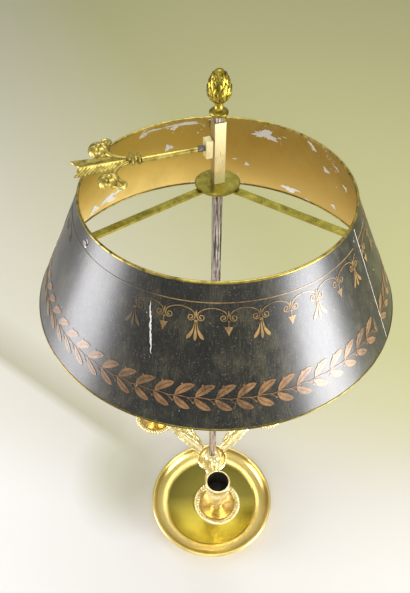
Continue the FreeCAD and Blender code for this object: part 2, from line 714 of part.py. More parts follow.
def make_shade():
    """Sheet-metal cone with a bead wire at both edges, riveted to three flat bars."""
    top, bottom = D["shade_top_radius"], D["shade_bottom_radius"]
    sheet_blank = turned("shade_sheet", [
        (bottom - wall_across, shade_bottom_level),
        (bottom, shade_bottom_level),
        (top, shade_top_level),
        (top - wall_across, shade_top_level),
    ])
    tab_drop = 3.5
    rivet_drop = tab_drop + D["spoke_tab"].value * 0.5
    gap = 0.06
    tab_cos = math.cos(math.atan(shade_slope.value))
    tab_sin = math.sin(math.atan(shade_slope.value))
    across = D["spoke_thickness"] / tab_cos
    wall_x = top - wall_across - gap + shade_slope * tab_drop
    corner_z = shade_top_level - tab_drop
    inner = D["disc_radius"] - D["spoke_overlap"]
    tab_x = wall_x + D["spoke_tab"] * tab_sin
    tab_z = corner_z - D["spoke_tab"] * tab_cos
    bars, drills, shanks = [], [], []
    through = D["shade_wall"].value + D["spoke_thickness"].value + gap
    for angle, side in zip(SPOKE_ANGLES, SPOKE_SIDES):
        bar = padded(f"spoke_{side}_bar", "XZ_Plane", [[
            (inner, disc_level - D["spoke_thickness"]),
            (D["disc_radius"] + 2, disc_level - D["spoke_thickness"]),
            (wall_x - across, corner_z - D["spoke_thickness"]),
            (tab_x - across, tab_z),
            (tab_x, tab_z),
            (wall_x, corner_z),
            (D["disc_radius"] + 2, disc_level),
            (inner, disc_level),
        ]], D["spoke_width"], True)
        place(bar, turn=angle)
        drill = cylinder(f"rivet_{side}_drill", D["rivet_radius"], as_size(through + 2))
        drill.Placement = wall_frame(angle.value, rivet_drop, through + 1)
        bars.append(cut(f"spoke_{side}", bar, [drill]))
        drills.append(drill)
        shank = Part.makeCylinder(D["rivet_radius"].value, through)
        head = Part.makeCylinder(D["rivet_head_radius"].value, D["rivet_head_height"].value,
                                 FreeCAD.Vector(0, 0, through))
        rim = [edge for edge in head.Edges if edge.BoundBox.ZMin > through + 0.1
               and edge.Curve.TypeId == "Part::GeomCircle"]
        rivet = shank.fuse(head.makeFillet(D["rivet_head_height"].value * 0.6, rim))
        rivet.Placement = wall_frame(angle.value, rivet_drop, through)
        shanks.append(rivet)
    cone = cut("shade_cone", sheet_blank, drills)
    rivets = free_form("spoke_rivets", Part.makeCompound(shanks))
    wires = []
    for side, radius, level, beyond in (("top", top, shade_top_level, 1), ("bottom", bottom,
                                                                       shade_bottom_level, -1)):
        ring = doc.addObject("Part::Torus", f"shade_{side}_wire")
        ring.Label = f"shade_{side}_wire"
        ring.setExpression("Radius1", (radius - wall_across / 2).text)
        ring.setExpression("Radius2", D["wire_radius"].text)
        place(ring, level=level + D["wire_radius"] * beyond)
        wires.append(ring)
    return bars + [cone, rivets] + wires


def make_arrow():
    """Arrow-shaped key on the clamp screw: shaft, knot, feather and two scrolls with rosettes."""
    radius = D["arrow_shaft_radius"]
    length = D["arrow_shaft_length"]
    bore = D["screw_pin_diameter"] / 2 + D["screw_gap"]
    bore_depth = D["screw_pin_length"] + 0.3
    shaft = turned("arrow_shaft", [
        (bore, as_size(0)), (radius, as_size(0)), (radius + 0.3, length), (as_size(0), length),
        (as_size(0), bore_depth), (bore, bore_depth),
    ])
    shaft.Placement = screw_frame(arrow_start.value)
    knot = D["arrow_collar_radius"]
    long = D["arrow_collar_length"]
    collar = turned("arrow_collar", [
        (as_size(0), as_size(0)),
        (radius + 0.8, as_size(0)),
        (knot * 0.7, long * 0.1),
        (knot * 0.7, long * 0.34, -(long * 0.13)),
        (knot * 0.62, long * 0.38),
        (knot * 0.8, long * 0.48),
        (knot * 0.8, long * 0.86, -(long * 0.24)),
        (knot * 0.66, long),
        (as_size(0), long),
    ])
    collar.Placement = screw_frame(collar_start.value)
    half = D["feather_width"] / 2
    long = D["feather_length"]
    feather = padded("arrow_feather", "XZ_Plane", [[
        (as_size(-1.5), as_size(0)),
        (as_size(1.5), as_size(0)),
        (half * 0.8, long * 0.6, as_size(-70)),
        (half, long),
        (half * 0.4, long - D["feather_notch"] * 0.4),
        (as_size(0), long - D["feather_notch"]),
        (half * -0.4, long - D["feather_notch"] * 0.4),
        (-half, long),
        (half * -0.8, long * 0.6),
    ]], D["feather_thickness"], True)
    feather.Placement = screw_frame(feather_start.value)
    pieces = [shaft, collar, feather]
    for side, sign in (("left", 1), ("right", -1)):
        scroll = free_form(f"arrow_scroll_{side}", scroll_blank(sign))
        scroll.Placement = screw_frame(feather_start.value)
        pieces.append(scroll)
    return pieces


def scroll_blank(sign):
    """A stalk to a five-petal rosette and a shorter one that ends in a bud, in the XZ plane."""
    out, along = D["scroll_offset"].value, D["scroll_along"].value
    wire = D["scroll_wire"].value * 2
    thickness = D["rosette_thickness"].value
    petal = D["rosette_radius"].value * 0.46
    stalk = pipe_through([(3.2, -0.8), (out * 0.5, along * 0.48), (out, along)], 18,
                         [wire, wire, wire])
    branch = pipe_through([(3.2, -0.8), (out * 0.8, along * 0.3), (out * 1.45, along * 0.42)], 42,
                          [wire, wire, wire * 0.8])
    bud = Part.makeSphere(wire, FreeCAD.Vector(out * 1.45, 0, along * 0.42))
    centre = FreeCAD.Vector(out, -thickness / 2, along)
    rosette = [Part.makeCylinder(petal, thickness,
                                 centre + FreeCAD.Vector((D["rosette_radius"].value - petal)
                                                         * math.cos(math.radians(72 * i)), 0,
                                                         (D["rosette_radius"].value - petal)
                                                         * math.sin(math.radians(72 * i))),
                                 FreeCAD.Vector(0, 1, 0)) for i in range(5)]
    button = Part.makeCylinder(petal * 0.6, thickness + 1.2,
                               centre - FreeCAD.Vector(0, 0.6, 0), FreeCAD.Vector(0, 1, 0))
    whole = stalk.multiFuse([branch, bud, button] + rosette)
    below = Part.makeBox(40, 40, 10, FreeCAD.Vector(-20, -20, -10))
    whole = whole.cut(below)
    if sign < 0:
        whole = whole.mirror(FreeCAD.Vector(0, 0, 0), FreeCAD.Vector(1, 0, 0))
    return whole


NODES = [make_base_dish(), *make_column(), *make_stem(), *make_arms(), make_finial(),
         *make_clamp(), make_hub_disc(), *make_shade(), *make_arrow()]
doc.recompute()

faulty = [item.Label for item in doc.Objects
          if "Invalid" in item.State or "Error" in item.State]
if faulty:
    raise RuntimeError(f"objects that failed to build: {faulty}")
for node in NODES:
    if node.Shape.isNull() or not node.Shape.isValid():
        raise RuntimeError(f"{node.Label} has no valid shape")

os.makedirs("parts", exist_ok=True)
for node in NODES:
    node.Shape.exportStep(f"parts/{node.Label}.step")
    print(f"{node.Label}: {len(node.Shape.Solids)} solid, {node.Shape.Volume / 1000:.2f} cm3")
print(f"{len(NODES)} pieces, {stem_top.value + D['finial_height'].value:.1f} mm tall")
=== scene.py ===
# %% [markdown]
# # A bouillotte lamp, dressed in Blender
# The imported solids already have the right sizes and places, so this script adds what a photographer would
# see: smooth turned brass, a pine cone with overlapping scales, gadrooned borders, the painted ornament
# of the shade, and finishes that are worn where hands and cloths have been.

# %% Tools and the frame
import json
import math
import random

import bmesh
import bpy
import numpy as np
from mathutils import Matrix, Vector


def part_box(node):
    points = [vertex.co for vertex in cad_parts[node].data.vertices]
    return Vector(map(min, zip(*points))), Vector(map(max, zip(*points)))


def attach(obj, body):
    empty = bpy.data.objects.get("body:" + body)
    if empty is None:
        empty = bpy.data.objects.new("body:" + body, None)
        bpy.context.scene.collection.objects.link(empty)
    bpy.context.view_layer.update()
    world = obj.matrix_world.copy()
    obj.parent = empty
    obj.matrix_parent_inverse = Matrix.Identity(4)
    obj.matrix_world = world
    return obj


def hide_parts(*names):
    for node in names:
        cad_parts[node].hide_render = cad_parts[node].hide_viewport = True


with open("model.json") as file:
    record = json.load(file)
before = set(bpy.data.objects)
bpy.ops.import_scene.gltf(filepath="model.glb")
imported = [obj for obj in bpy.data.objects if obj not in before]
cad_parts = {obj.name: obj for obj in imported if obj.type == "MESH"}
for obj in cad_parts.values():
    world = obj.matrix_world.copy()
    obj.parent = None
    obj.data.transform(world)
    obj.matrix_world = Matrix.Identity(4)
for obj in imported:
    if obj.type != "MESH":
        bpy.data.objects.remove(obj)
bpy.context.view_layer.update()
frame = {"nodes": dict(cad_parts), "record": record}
MM = 0.001
scene = bpy.context.scene

# %% [markdown]
# ## Where things are
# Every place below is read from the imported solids, so a piece lands where the lamp carries it. The shade
# is a cone: its two edges give its slope, and the slope gives the directions down the wall and out of it.

# %% Measures read from the frame
SIDES = ("front", "right", "left")


def node_box(node):
    low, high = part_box(node)
    return Vector(low), Vector(high)


def axis_of(node):
    low, high = node_box(node)
    return (low + high) / 2


shade_low, shade_high = node_box("shade_cone")
top_wire_low, top_wire_high = node_box("shade_top_wire")
WIRE_RADIUS = (top_wire_high.z - top_wire_low.z) / 2
SHADE_TOP = shade_high.z
SHADE_BOTTOM = shade_low.z
SHADE_BOTTOM_RADIUS = (shade_high.x - shade_low.x) / 2
SHADE_WALL = 0.7 * MM
# Half the wall's thickness, measured level across the slope.
HALF_WALL = 0.39 * MM
SHADE_TOP_RADIUS = (top_wire_high.x - top_wire_low.x) / 2 - WIRE_RADIUS + HALF_WALL
SHADE_SLOPE = math.atan2(SHADE_BOTTOM_RADIUS - SHADE_TOP_RADIUS, SHADE_TOP - SHADE_BOTTOM)
nozzle_axes = {side: axis_of(f"candle_nozzle_{side}") for side in SIDES}
ARM_ANGLE = {side: math.atan2(place.y, place.x) for side, place in nozzle_axes.items()}
ARM_REACH = Vector(nozzle_axes["front"].xy).length
sleeve_low, sleeve_high = node_box("slide_sleeve")
screw_middle = axis_of("clamp_screw")
SCREW_ANGLE = math.atan2(screw_middle.y, screw_middle.x)
print(f"shade leans {math.degrees(SHADE_SLOPE):.1f} degrees, arm reach {ARM_REACH / MM:.1f} mm")

# %% [markdown]
# ## Camera
# The photo looks down at the lamp by about 45 degrees. The camera below was solved from the ellipses that
# the round edges make in the photo, in pixels of a 410 by 593 frame.

# %% Camera
PHOTO_HEIGHT = 593
FOCAL_PIXELS = 600.0
CAMERA_PLACE = Vector((-19.6, -415.4, 858.9)) * MM
CAMERA_PITCH = math.radians(45.2)
CAMERA_YAW = math.radians(1.3)
CAMERA_ROLL = math.radians(0.1)


def add_object(name, data):
    thing = bpy.data.objects.new(name, data)
    scene.collection.objects.link(thing)
    return thing


camera_data = bpy.data.cameras.new("camera")
camera_data.sensor_width = 36.0
camera_data.lens = FOCAL_PIXELS * camera_data.sensor_width / PHOTO_HEIGHT
camera = add_object("camera", camera_data)
scene.camera = camera
camera.location = CAMERA_PLACE
turn = (Matrix.Rotation(-CAMERA_YAW, 4, "Z") @ Matrix.Rotation(math.pi / 2 - CAMERA_PITCH, 4, "X")
        @ Matrix.Rotation(CAMERA_ROLL, 4, "Z"))
camera.rotation_euler = turn.to_euler()
scene.view_settings.view_transform = "Standard"
print(f"lens {camera_data.lens:.1f} mm, looking down by {math.degrees(CAMERA_PITCH):.1f} degrees")

# %% [markdown]
# ## Node helpers
# Every finish is a small tree of nodes. These helpers make a node and set its inputs in one line, so that
# a material below reads as what it does.

# %% Helpers for materials


def surface_of(material):
    return material.node_tree.nodes["Principled BSDF"]


def new_material(name):
    material = bpy.data.materials.new(name)
    material.use_nodes = True
    return material, material.node_tree, surface_of(material)


def add_node(tree, kind, settings=None, **inputs):
    """A node with values or sockets as inputs: _ in a keyword stands for a space, i0 for input number 0."""
    node = tree.nodes.new(kind)
    for key, value in (settings or {}).items():
        setattr(node, key, value)
    for key, value in inputs.items():
        name = key.replace("_", " ")
        socket = node.inputs[int(name[1:])] if name[0] == "i" and name[1:].isdigit() else node.inputs[name]
        connect(tree, value, socket)
    return node


def connect(tree, value, socket):
    if isinstance(value, bpy.types.NodeSocket):
        tree.links.new(value, socket)
    else:
        socket.default_value = value


def object_place(tree, scale=(1, 1, 1)):
    """Object coordinates in millimetres, stretched."""
    place = add_node(tree, "ShaderNodeTexCoord").outputs["Object"]
    mapping = add_node(tree, "ShaderNodeMapping", Vector=place, Scale=tuple(part / MM for part in scale))
    return mapping.outputs["Vector"]


def noise(tree, place, size, detail=4.0, rough=0.55, warp=0.0):
    """Noise from 0 to 1 whose blobs are about size millimetres."""
    return add_node(tree, "ShaderNodeTexNoise", Vector=place, Scale=1.0 / size, Detail=detail,
                    Roughness=rough, Distortion=warp).outputs["Fac"]


def ramp(tree, factor, *stops):
    """A colour ramp; a stop is (position, colour) or (position, grey)."""
    node = add_node(tree, "ShaderNodeValToRGB", Fac=factor)
    elements = node.color_ramp.elements
    while len(elements) < len(stops):
        elements.new(0.5)
    for element, (position, colour) in zip(elements, stops):
        element.position = position
        element.color = (*colour, 1) if isinstance(colour, tuple) else (colour, colour, colour, 1)
    return node.outputs["Color"]


def sums(tree, operation, first, second=0.0, third=0.0):
    return add_node(tree, "ShaderNodeMath", {"operation": operation}, i0=first, i1=second,
                    i2=third).outputs[0]


def vector_of(tree, x=0.0, y=0.0, z=0.0):
    return add_node(tree, "ShaderNodeCombineXYZ", X=x, Y=y, Z=z).outputs[0]


def blend_colours(tree, factor, first, second, mode="MIX"):
    node = tree.nodes.new("ShaderNodeMix")
    node.data_type = "RGBA"
    node.blend_type = mode
    for value, socket in ((factor, node.inputs[0]), (first, node.inputs[6]), (second, node.inputs[7])):
        value = (*value, 1) if isinstance(value, tuple) and len(value) == 3 else value
        connect(tree, value, socket)
    return node.outputs[2]


def bump(tree, height, depth):
    """Bump by a height from 0 to 1; depth is in millimetres."""
    node = add_node(tree, "ShaderNodeBump", Height=height, Distance=depth * MM, Strength=1.0)
    return node.outputs["Normal"]

# %% [markdown]
# ## Brass, gilt and steel
# Old gilt brass is never one colour. It is pale where it is rubbed, olive or brown where it is tarnished,
# and dark in the corners that a cloth can't reach. Ambient occlusion finds those corners, and noise at
# three sizes gives the cloudy tarnish, the small spots and the fine wiping marks. One recipe serves every
# brass on the lamp.

# %% Metal recipes


def metal(name, rubbed, body, tarnish, shine=0.22, cloud=14.0, corner=3.0, tarnished=0.45, wipe=0.5,
          wipe_stretch=(1, 1, 1), brush=0.0015):
    material, tree, surface = new_material(name)
    place = object_place(tree)
    clouds = noise(tree, place, cloud, 5.0, 0.6, 0.4)
    spots = noise(tree, place, 1.1, 3.0, 0.7)
    tone = ramp(tree, clouds, (0.32, tarnish), (0.32 + 0.45 * tarnished, body), (0.74, rubbed))
    speckle = ramp(tree, spots, (0.30, 0.0), (0.36, 1.0))
    tone = blend_colours(tree, sums(tree, "MULTIPLY", sums(tree, "SUBTRACT", 1.0, speckle), 0.55), tone,
                         tarnish)
    cavity = add_node(tree, "ShaderNodeAmbientOcclusion", {"samples": 6}, Distance=corner * MM)
    hollow = ramp(tree, cavity.outputs["AO"], (0.25, 1.0), (0.85, 0.0))
    dirt = tuple(part * 0.32 for part in tarnish)
    tone = blend_colours(tree, sums(tree, "MULTIPLY", hollow, 0.75), tone, dirt)
    surface.inputs["Metallic"].default_value = 1.0
    tree.links.new(tone, surface.inputs["Base Color"])
    strokes = noise(tree, object_place(tree, wipe_stretch), wipe, 3.0, 0.6)
    rough = sums(tree, "MULTIPLY_ADD", strokes, 0.16, shine - 0.06)
    rough = sums(tree, "MULTIPLY_ADD", hollow, 0.25, rough)
    tree.links.new(rough, surface.inputs["Roughness"])
    tree.links.new(bump(tree, strokes, brush), surface.inputs["Normal"])
    return material


dish_brass = metal("dish_brass", (0.86, 0.66, 0.22), (0.66, 0.47, 0.10), (0.34, 0.26, 0.05), 0.17, 24.0,
                   4.0, 0.5, 0.6)
column_gilt = metal("column_gilt", (1.0, 0.92, 0.60), (0.96, 0.83, 0.44), (0.62, 0.47, 0.18), 0.24, 8.0)
arm_gilt = metal("arm_gilt", (1.0, 0.94, 0.62), (0.98, 0.87, 0.48), (0.64, 0.49, 0.16), 0.25, 5.0, 2.5)
nozzle_gilt = metal("nozzle_gilt", (0.97, 0.88, 0.54), (0.93, 0.81, 0.43), (0.66, 0.50, 0.20), 0.24, 9.0,
                    1.6)
# Painted shade: the pans' wells get a darker copy of the gilt.
well_shaded_gilt = metal("well_shaded_gilt", (0.92, 0.72, 0.30), (0.76, 0.54, 0.17), (0.42, 0.27, 0.07), 0.26, 6.0)
finial_gilt = metal("finial_gilt", (0.52, 0.41, 0.085), (0.36, 0.28, 0.042), (0.11, 0.08, 0.008), 0.38, 5.0,
                    3.0, brush=0.0008)
arrow_gilt = metal("arrow_gilt", (0.72, 0.61, 0.20), (0.50, 0.40, 0.10), (0.20, 0.15, 0.03), 0.38, 6.0,
                   2.0)
sleeve_brass = metal("sleeve_brass", (1.0, 0.93, 0.56), (0.99, 0.88, 0.48), (0.86, 0.72, 0.36), 0.28,
                     16.0, 2.0, 0.3, 0.4, (1, 1, 0.05))
frame_brass = metal("frame_brass", (0.60, 0.51, 0.11), (0.42, 0.36, 0.06), (0.22, 0.19, 0.03), 0.24, 10.0,
                    1.5, 0.5)
wire_brass = metal("wire_brass", (0.58, 0.46, 0.12), (0.34, 0.26, 0.06), (0.08, 0.06, 0.02), 0.30, 6.0,
                   1.0, 0.35)
stem_steel = metal("stem_steel", (0.42, 0.37, 0.33), (0.27, 0.22, 0.20), (0.10, 0.08, 0.07), 0.30, 12.0,
                   1.0, 0.6, 0.35, (1, 1, 0.04), 0.003)
fixing_steel = metal("fixing_steel", (0.30, 0.28, 0.26), (0.18, 0.17, 0.16), (0.07, 0.06, 0.05), 0.34,
                     3.0, 0.8)

# Old varnish over the brass takes away a little of its mirror.
VARNISHED = 0.86
VARNISHED_SLEEVE = 0.68
for varnished in (column_gilt, arm_gilt, nozzle_gilt, dish_brass):
    surface_of(varnished).inputs["Metallic"].default_value = VARNISHED
surface_of(sleeve_brass).inputs["Metallic"].default_value = VARNISHED_SLEEVE
print("metals:", len(bpy.data.materials))

# %% [markdown]
# ** Masks by place.** A colour changes from place to place: the dish's floor and wall carry painted
# reflections, and the stem has painted light below the shade. A mask is a small function that adds
# nodes to a material and is 1 in one place and 0 elsewhere: by the distance from the stem, by height, or
# along one direction.

# %% Masks by place


def place_parts(tree):
    """The object's x, y and z in millimetres, as three sockets."""
    return tuple(add_node(tree, "ShaderNodeSeparateXYZ", Vector=object_place(tree)).outputs)


def share_between(tree, value, low, high):
    """0 where the value is low or beyond it, 1 where it is high, and even steps between."""
    return add_node(tree, "ShaderNodeMapRange", Value=value, From_Min=low, From_Max=high).outputs[0]


def radius_mask(start, end):
    """0 at the radius start and 1 at the radius end, in millimetres from the stem."""
    def build(tree):
        squares = [sums(tree, "MULTIPLY", part, part) for part in place_parts(tree)[:2]]
        return share_between(tree, sums(tree, "SQRT", sums(tree, "ADD", *squares)), start, end)
    return build


def height_mask(start, end):
    """0 at the height start and 1 at the height end, in millimetres above the table."""
    return lambda tree: share_between(tree, place_parts(tree)[2], start, end)


def along_mask(angle_degrees, *stops):
    """A ramp by the distance from the stem in one direction; a stop is (millimetres, value)."""
    angle = math.radians(angle_degrees)
    low, high = stops[0][0], stops[-1][0]

    def build(tree):
        x, y, _ = place_parts(tree)
        across = sums(tree, "MULTIPLY_ADD", y, math.sin(angle), sums(tree, "MULTIPLY", x, math.cos(angle)))
        return ramp(tree, share_between(tree, across, low, high),
                    *[((place - low) / (high - low), value) for place, value in stops])
    return build


def streak_mask(stretch, size, detail, start, end):
    """Long marks down a piece: stretched noise, 0 below the level start and 1 above the level end."""
    return lambda tree: ramp(tree, noise(tree, object_place(tree, (1, 1, stretch)), size, detail, 0.7),
                             (start, 0.0), (end, 1.0))


def both(first, second):
    return lambda tree: sums(tree, "MULTIPLY", first(tree), second(tree))

# %% [markdown]
# **Zones of a finish.** A separate piece for each zone would put an edge where the real lamp has none, so
# a mask mixes a second colour over the finished metal. The places are read from the photo, in
# millimetres.

# %% Zones of a finish


def tint_zone(material, mask_of, colour, strength):
    """Mix a colour over a finished metal where mask_of(tree) is 1."""
    tree, surface = material.node_tree, surface_of(material)
    under = surface.inputs["Base Color"].links[0].from_socket
    mask = sums(tree, "MULTIPLY", mask_of(tree), strength)
    tree.links.new(blend_colours(tree, mask, under, colour), surface.inputs["Base Color"])


def rough_zone(material, mask_of, extra):
    """Add to the roughness of a finished metal where mask_of(tree) is 1."""
    tree, surface = material.node_tree, surface_of(material)
    under = surface.inputs["Roughness"].links[0].from_socket
    tree.links.new(sums(tree, "MULTIPLY_ADD", mask_of(tree), extra, under), surface.inputs["Roughness"])


# Several zones below are painted light: reflections in the dish, shade on one face of the sleeve, and light
# on the stem below the shade.
DISH_FLOOR_EDGE = 63.6
DISH_WALL_TOP = 72.0
dish_floor = radius_mask(DISH_FLOOR_EDGE + 1.2, DISH_FLOOR_EDGE)
dish_wall = radius_mask(DISH_FLOOR_EDGE + 0.2, DISH_WALL_TOP)
floor_reflection_rear = both(dish_floor, along_mask(90, (-48.0, 0.0), (8.0, 1.0)))
wall_reflection_left = both(dish_wall, along_mask(150, (58.0, 0.0), (76.0, 1.0)))
wall_reflection_right = both(dish_wall, along_mask(12, (62.0, 0.0), (79.0, 1.0)))
# Painted reflection: the dish's floor is darkened olive, and darker still towards the back, for the shade
# mirrored in it.
tint_zone(dish_brass, dish_floor, (0.40, 0.32, 0.034), 0.88)
tint_zone(dish_brass, floor_reflection_rear, (0.058, 0.050, 0.006), 0.90)
tint_zone(dish_brass, dish_wall, (0.86, 0.69, 0.27), 0.85)
rough_zone(dish_brass, dish_wall, 0.09)
# Painted reflections: olive-brown on the left of the dish's wall and brown on its right.
tint_zone(dish_brass, wall_reflection_left, (0.50, 0.40, 0.09), 0.55)
tint_zone(dish_brass, wall_reflection_right, (0.52, 0.37, 0.10), 0.65)

lower_wire = height_mask(500.0, 480.0)
tint_zone(wire_brass, lower_wire, (0.09, 0.07, 0.02), 0.65)

sleeve_half = min(sleeve_high.x - sleeve_low.x, sleeve_high.y - sleeve_low.y) / 2 / MM
sleeve_face = sleeve_half / (abs(math.cos(SCREW_ANGLE)) + abs(math.sin(SCREW_ANGLE)))
shaded_screw_face = along_mask(math.degrees(SCREW_ANGLE), (sleeve_face - 0.6, 0.0), (sleeve_face - 0.2, 1.0),
                        (sleeve_face + 0.9, 1.0), (sleeve_face + 1.1, 0.0))
# Painted shade: the sleeve's face on the screw's side is darkened to brown.
tint_zone(sleeve_brass, shaded_screw_face, (0.26, 0.15, 0.05), 0.8)

stem_lit_below_shade = height_mask(470.0, 380.0)
# Painted light: the stem is paler below the shade than inside it.
tint_zone(stem_steel, stem_lit_below_shade, (0.74, 0.62, 0.58), 0.75)
tint_zone(stem_steel, streak_mask(0.05, 1.6, 4.0, 0.46, 0.52), (0.06, 0.045, 0.035), 0.8)
tint_zone(stem_steel, streak_mask(0.03, 1.1, 3.0, 0.52, 0.58), (0.84, 0.78, 0.72), 0.75)
print(f"the sleeve's face by the screw is {sleeve_face:.2f} mm from the stem's axis")

# %% [markdown]
# ## Stage and light
# A pale floor under a high, even light, as in a product photo. The world is darker at the horizon than
# overhead, which gives polished brass something to reflect, and two soft lamps at the sides draw the two
# long highlights down the black shade.

# %% Stage and light
SKY_STRENGTH = 0.85
SHADE_MIDDLE = (0, 0, 0.52)
STAND_MIDDLE = (0, 0, 0.3)

world = bpy.data.worlds.new("studio")
scene.world = world
world.use_nodes = True
sky = world.node_tree
background = sky.nodes["Background"]
direction = add_node(sky, "ShaderNodeTexCoord").outputs["Generated"]
height = add_node(sky, "ShaderNodeSeparateXYZ", Vector=direction).outputs["Z"]
sky_tone = ramp(sky, sums(sky, "MULTIPLY_ADD", height, 0.5, 0.5), (0.40, (0.16, 0.16, 0.13)),
                (0.55, (0.42, 0.41, 0.35)), (0.72, (0.62, 0.62, 0.58)), (1.0, (0.90, 0.90, 0.88)))
sky.links.new(sky_tone, background.inputs["Color"])
background.inputs["Strength"].default_value = SKY_STRENGTH


def add_lamp(name, place, target, size, watts, colour=(1, 1, 1)):
    """A soft rectangular lamp that faces its target."""
    data = bpy.data.lights.new(name, "AREA")
    data.shape = "RECTANGLE"
    data.size, data.size_y = size
    data.energy = watts
    data.color = colour
    lamp = add_object(name, data)
    lamp.location = place
    lamp.rotation_euler = (Vector(target) - Vector(place)).to_track_quat("-Z", "Y").to_euler()
    print(f"{name}: {watts} W")


add_lamp("left_softbox", (-1.5, -0.17, 0.36), SHADE_MIDDLE, (0.78, 0.66), 21, (0.97, 0.96, 1.0))
add_lamp("right_softbox", (1.37, -0.79, 0.36), SHADE_MIDDLE, (0.74, 0.66), 37, (0.96, 0.96, 1.0))
add_lamp("front_fill", (-0.3, -1.7, 1.7), STAND_MIDDLE, (1.2, 0.8), 12)
add_lamp("overhead", (0.2, 0.4, 1.9), STAND_MIDDLE, (1.0, 1.0), 12)

# %% [markdown]
# **The floor.** In the photo the table goes from pale grey in front to a warm yellow-grey behind. The
# stem throws one soft shadow to the left and the dish another. The lamps that made them aren't known, so
# the tones are mixed into the floor's own colour, by place, and need no lamp of their own.

# %% The floor
FLOOR_COLOUR = (0.69, 0.675, 0.655)
FLOOR_HALF = 4
# The level direction across the stem's shadow, as x and y.
ACROSS_SHADOW = (0.612, 0.791)

corners = [(x * FLOOR_HALF, y * FLOOR_HALF, 0) for x, y in ((-1, -1), (1, -1), (1, 1), (-1, 1))]
floor_mesh = bpy.data.meshes.new("floor")
floor_mesh.from_pydata(corners, [], [(0, 1, 2, 3)])
floor = add_object("floor", floor_mesh)
floor_paint, tree, surface = new_material("floor_paint")
rightwards, backwards, _ = place_parts(tree)
back_way = share_between(tree, backwards, -150.0, 2050.0)
back_way = ramp(tree, back_way, (0.02, 0.0), (0.06, 0.10), (0.10, 0.28), (0.14, 0.44), (0.25, 0.60),
                (0.38, 0.68), (1.0, 1.0))
back_way = sums(tree, "MULTIPLY_ADD", rightwards, 0.0006, back_way)
tone = ramp(tree, back_way, (0.0, FLOOR_COLOUR), (0.3, (0.60, 0.576, 0.51)), (0.5, (0.53, 0.51, 0.37)),
            (0.75, (0.47, 0.46, 0.23)), (1.0, (0.50, 0.485, 0.24)))
from_shadow = sums(tree, "MULTIPLY_ADD", rightwards, ACROSS_SHADOW[0],
                   sums(tree, "MULTIPLY", backwards, ACROSS_SHADOW[1]))
stem_shade = ramp(tree, share_between(tree, from_shadow, -40.0, 80.0), (0.18, 0.0), (0.34, 1.0), (0.95, 0.0))
stem_shade = sums(tree, "MULTIPLY", stem_shade, share_between(tree, rightwards, -90.0, -150.0))
tone = blend_colours(tree, sums(tree, "MULTIPLY", stem_shade, 0.80), tone, (0.37, 0.355, 0.24))
from_dish_shade = vector_of(tree, sums(tree, "MULTIPLY_ADD", rightwards, 1 / 85.0, 1.55),
                            sums(tree, "MULTIPLY_ADD", backwards, 1 / 110.0, -0.5))
dish_shade = add_node(tree, "ShaderNodeVectorMath", {"operation": "LENGTH"}, Vector=from_dish_shade)
dish_shade = ramp(tree, dish_shade.outputs["Value"], (0.35, 1.0), (1.0, 0.0))
tone = blend_colours(tree, sums(tree, "MULTIPLY", dish_shade, 0.75), tone, (0.46, 0.45, 0.33))
tree.links.new(tone, surface.inputs["Base Color"])
surface.inputs["Roughness"].default_value = 0.7
floor_mesh.materials.append(floor_paint)
print(f"floor {2 * FLOOR_HALF} m wide")

# %% [markdown]
# ## From points to a piece
# Most forms start as points and faces in millimetres. One way of finishing keeps every piece closed and
# named.

# %% Helpers that finish a piece


def plain_mesh(name, points, faces):
    """A mesh in metres from points in millimetres."""
    mesh = bpy.data.meshes.new(name)
    mesh.from_pydata([tuple(point) for point in np.asarray(points, float) * MM], [],
                     [tuple(int(i) for i in face) for face in faces])
    return mesh


def finish_piece(name, points, faces, finish, body, slot, crease=40.0, stands_for=()):
    """Make a finished piece, with its origin at the lamp's, from points in millimetres."""
    mesh = plain_mesh(name, points, faces)
    mesh.validate()
    finish_mesh(name, mesh, finish, body, crease, stands_for)


def finish_mesh(name, mesh, finish, body, crease=40.0, stands_for=()):
    """Clean and smooth a mesh, and say which body the piece belongs to and which solids it stands for."""
    mesh.name = name
    form = bmesh.new()
    form.from_mesh(mesh)
    bmesh.ops.remove_doubles(form, verts=form.verts, dist=1e-6)
    bmesh.ops.recalc_face_normals(form, faces=form.faces)
    form.to_mesh(mesh)
    form.free()
    for polygon in mesh.polygons:
        polygon.use_smooth = True
    mesh.set_sharp_from_angle(angle=math.radians(crease))
    if finish is not None:
        mesh.materials.clear()
        mesh.materials.append(finish)
    piece = add_object(name, mesh)
    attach(piece, body)
    if stands_for:
        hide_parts(*stands_for)

# %% [markdown]
# ## Geometry Nodes helpers
# Three node trees make everything on this lamp that repeats. Each tree takes a small motif object and a
# few named sizes. This helper runs a tree on an empty mesh and keeps the result as a plain mesh.

# %% Helpers for node trees


def new_tree(build, **kinds):
    """A geometry node tree with named inputs. build(tree, **inputs) returns its geometry."""
    tree = bpy.data.node_groups.new(build.__name__, "GeometryNodeTree")
    tree.interface.new_socket("Geometry", in_out="OUTPUT", socket_type="NodeSocketGeometry")
    for label, kind in {**kinds, "finish": "Material"}.items():
        tree.interface.new_socket(label, in_out="INPUT", socket_type=f"NodeSocket{kind}")
    entry = tree.nodes.new("NodeGroupInput")
    geometry = build(tree, **{label: entry.outputs[label] for label in kinds})
    real = add_node(tree, "GeometryNodeRealizeInstances", Geometry=geometry)
    painted = add_node(tree, "GeometryNodeSetMaterial", Geometry=real.outputs[0],
                       Material=entry.outputs["finish"])
    leave = tree.nodes.new("NodeGroupOutput")
    tree.links.new(painted.outputs[0], leave.inputs[0])
    return tree


def copies_at(tree, motif, spots, **settings):
    """A copy of the motif object at each spot."""
    form = add_node(tree, "GeometryNodeObjectInfo", Object=motif).outputs["Geometry"]
    return add_node(tree, "GeometryNodeInstanceOnPoints", Points=spots, Instance=form,
                    **settings).outputs[0]


def motif_object(name, form):
    """An object that a tree copies; it is deleted when the tree has run."""
    return add_object(name, plain_mesh(name, *form))


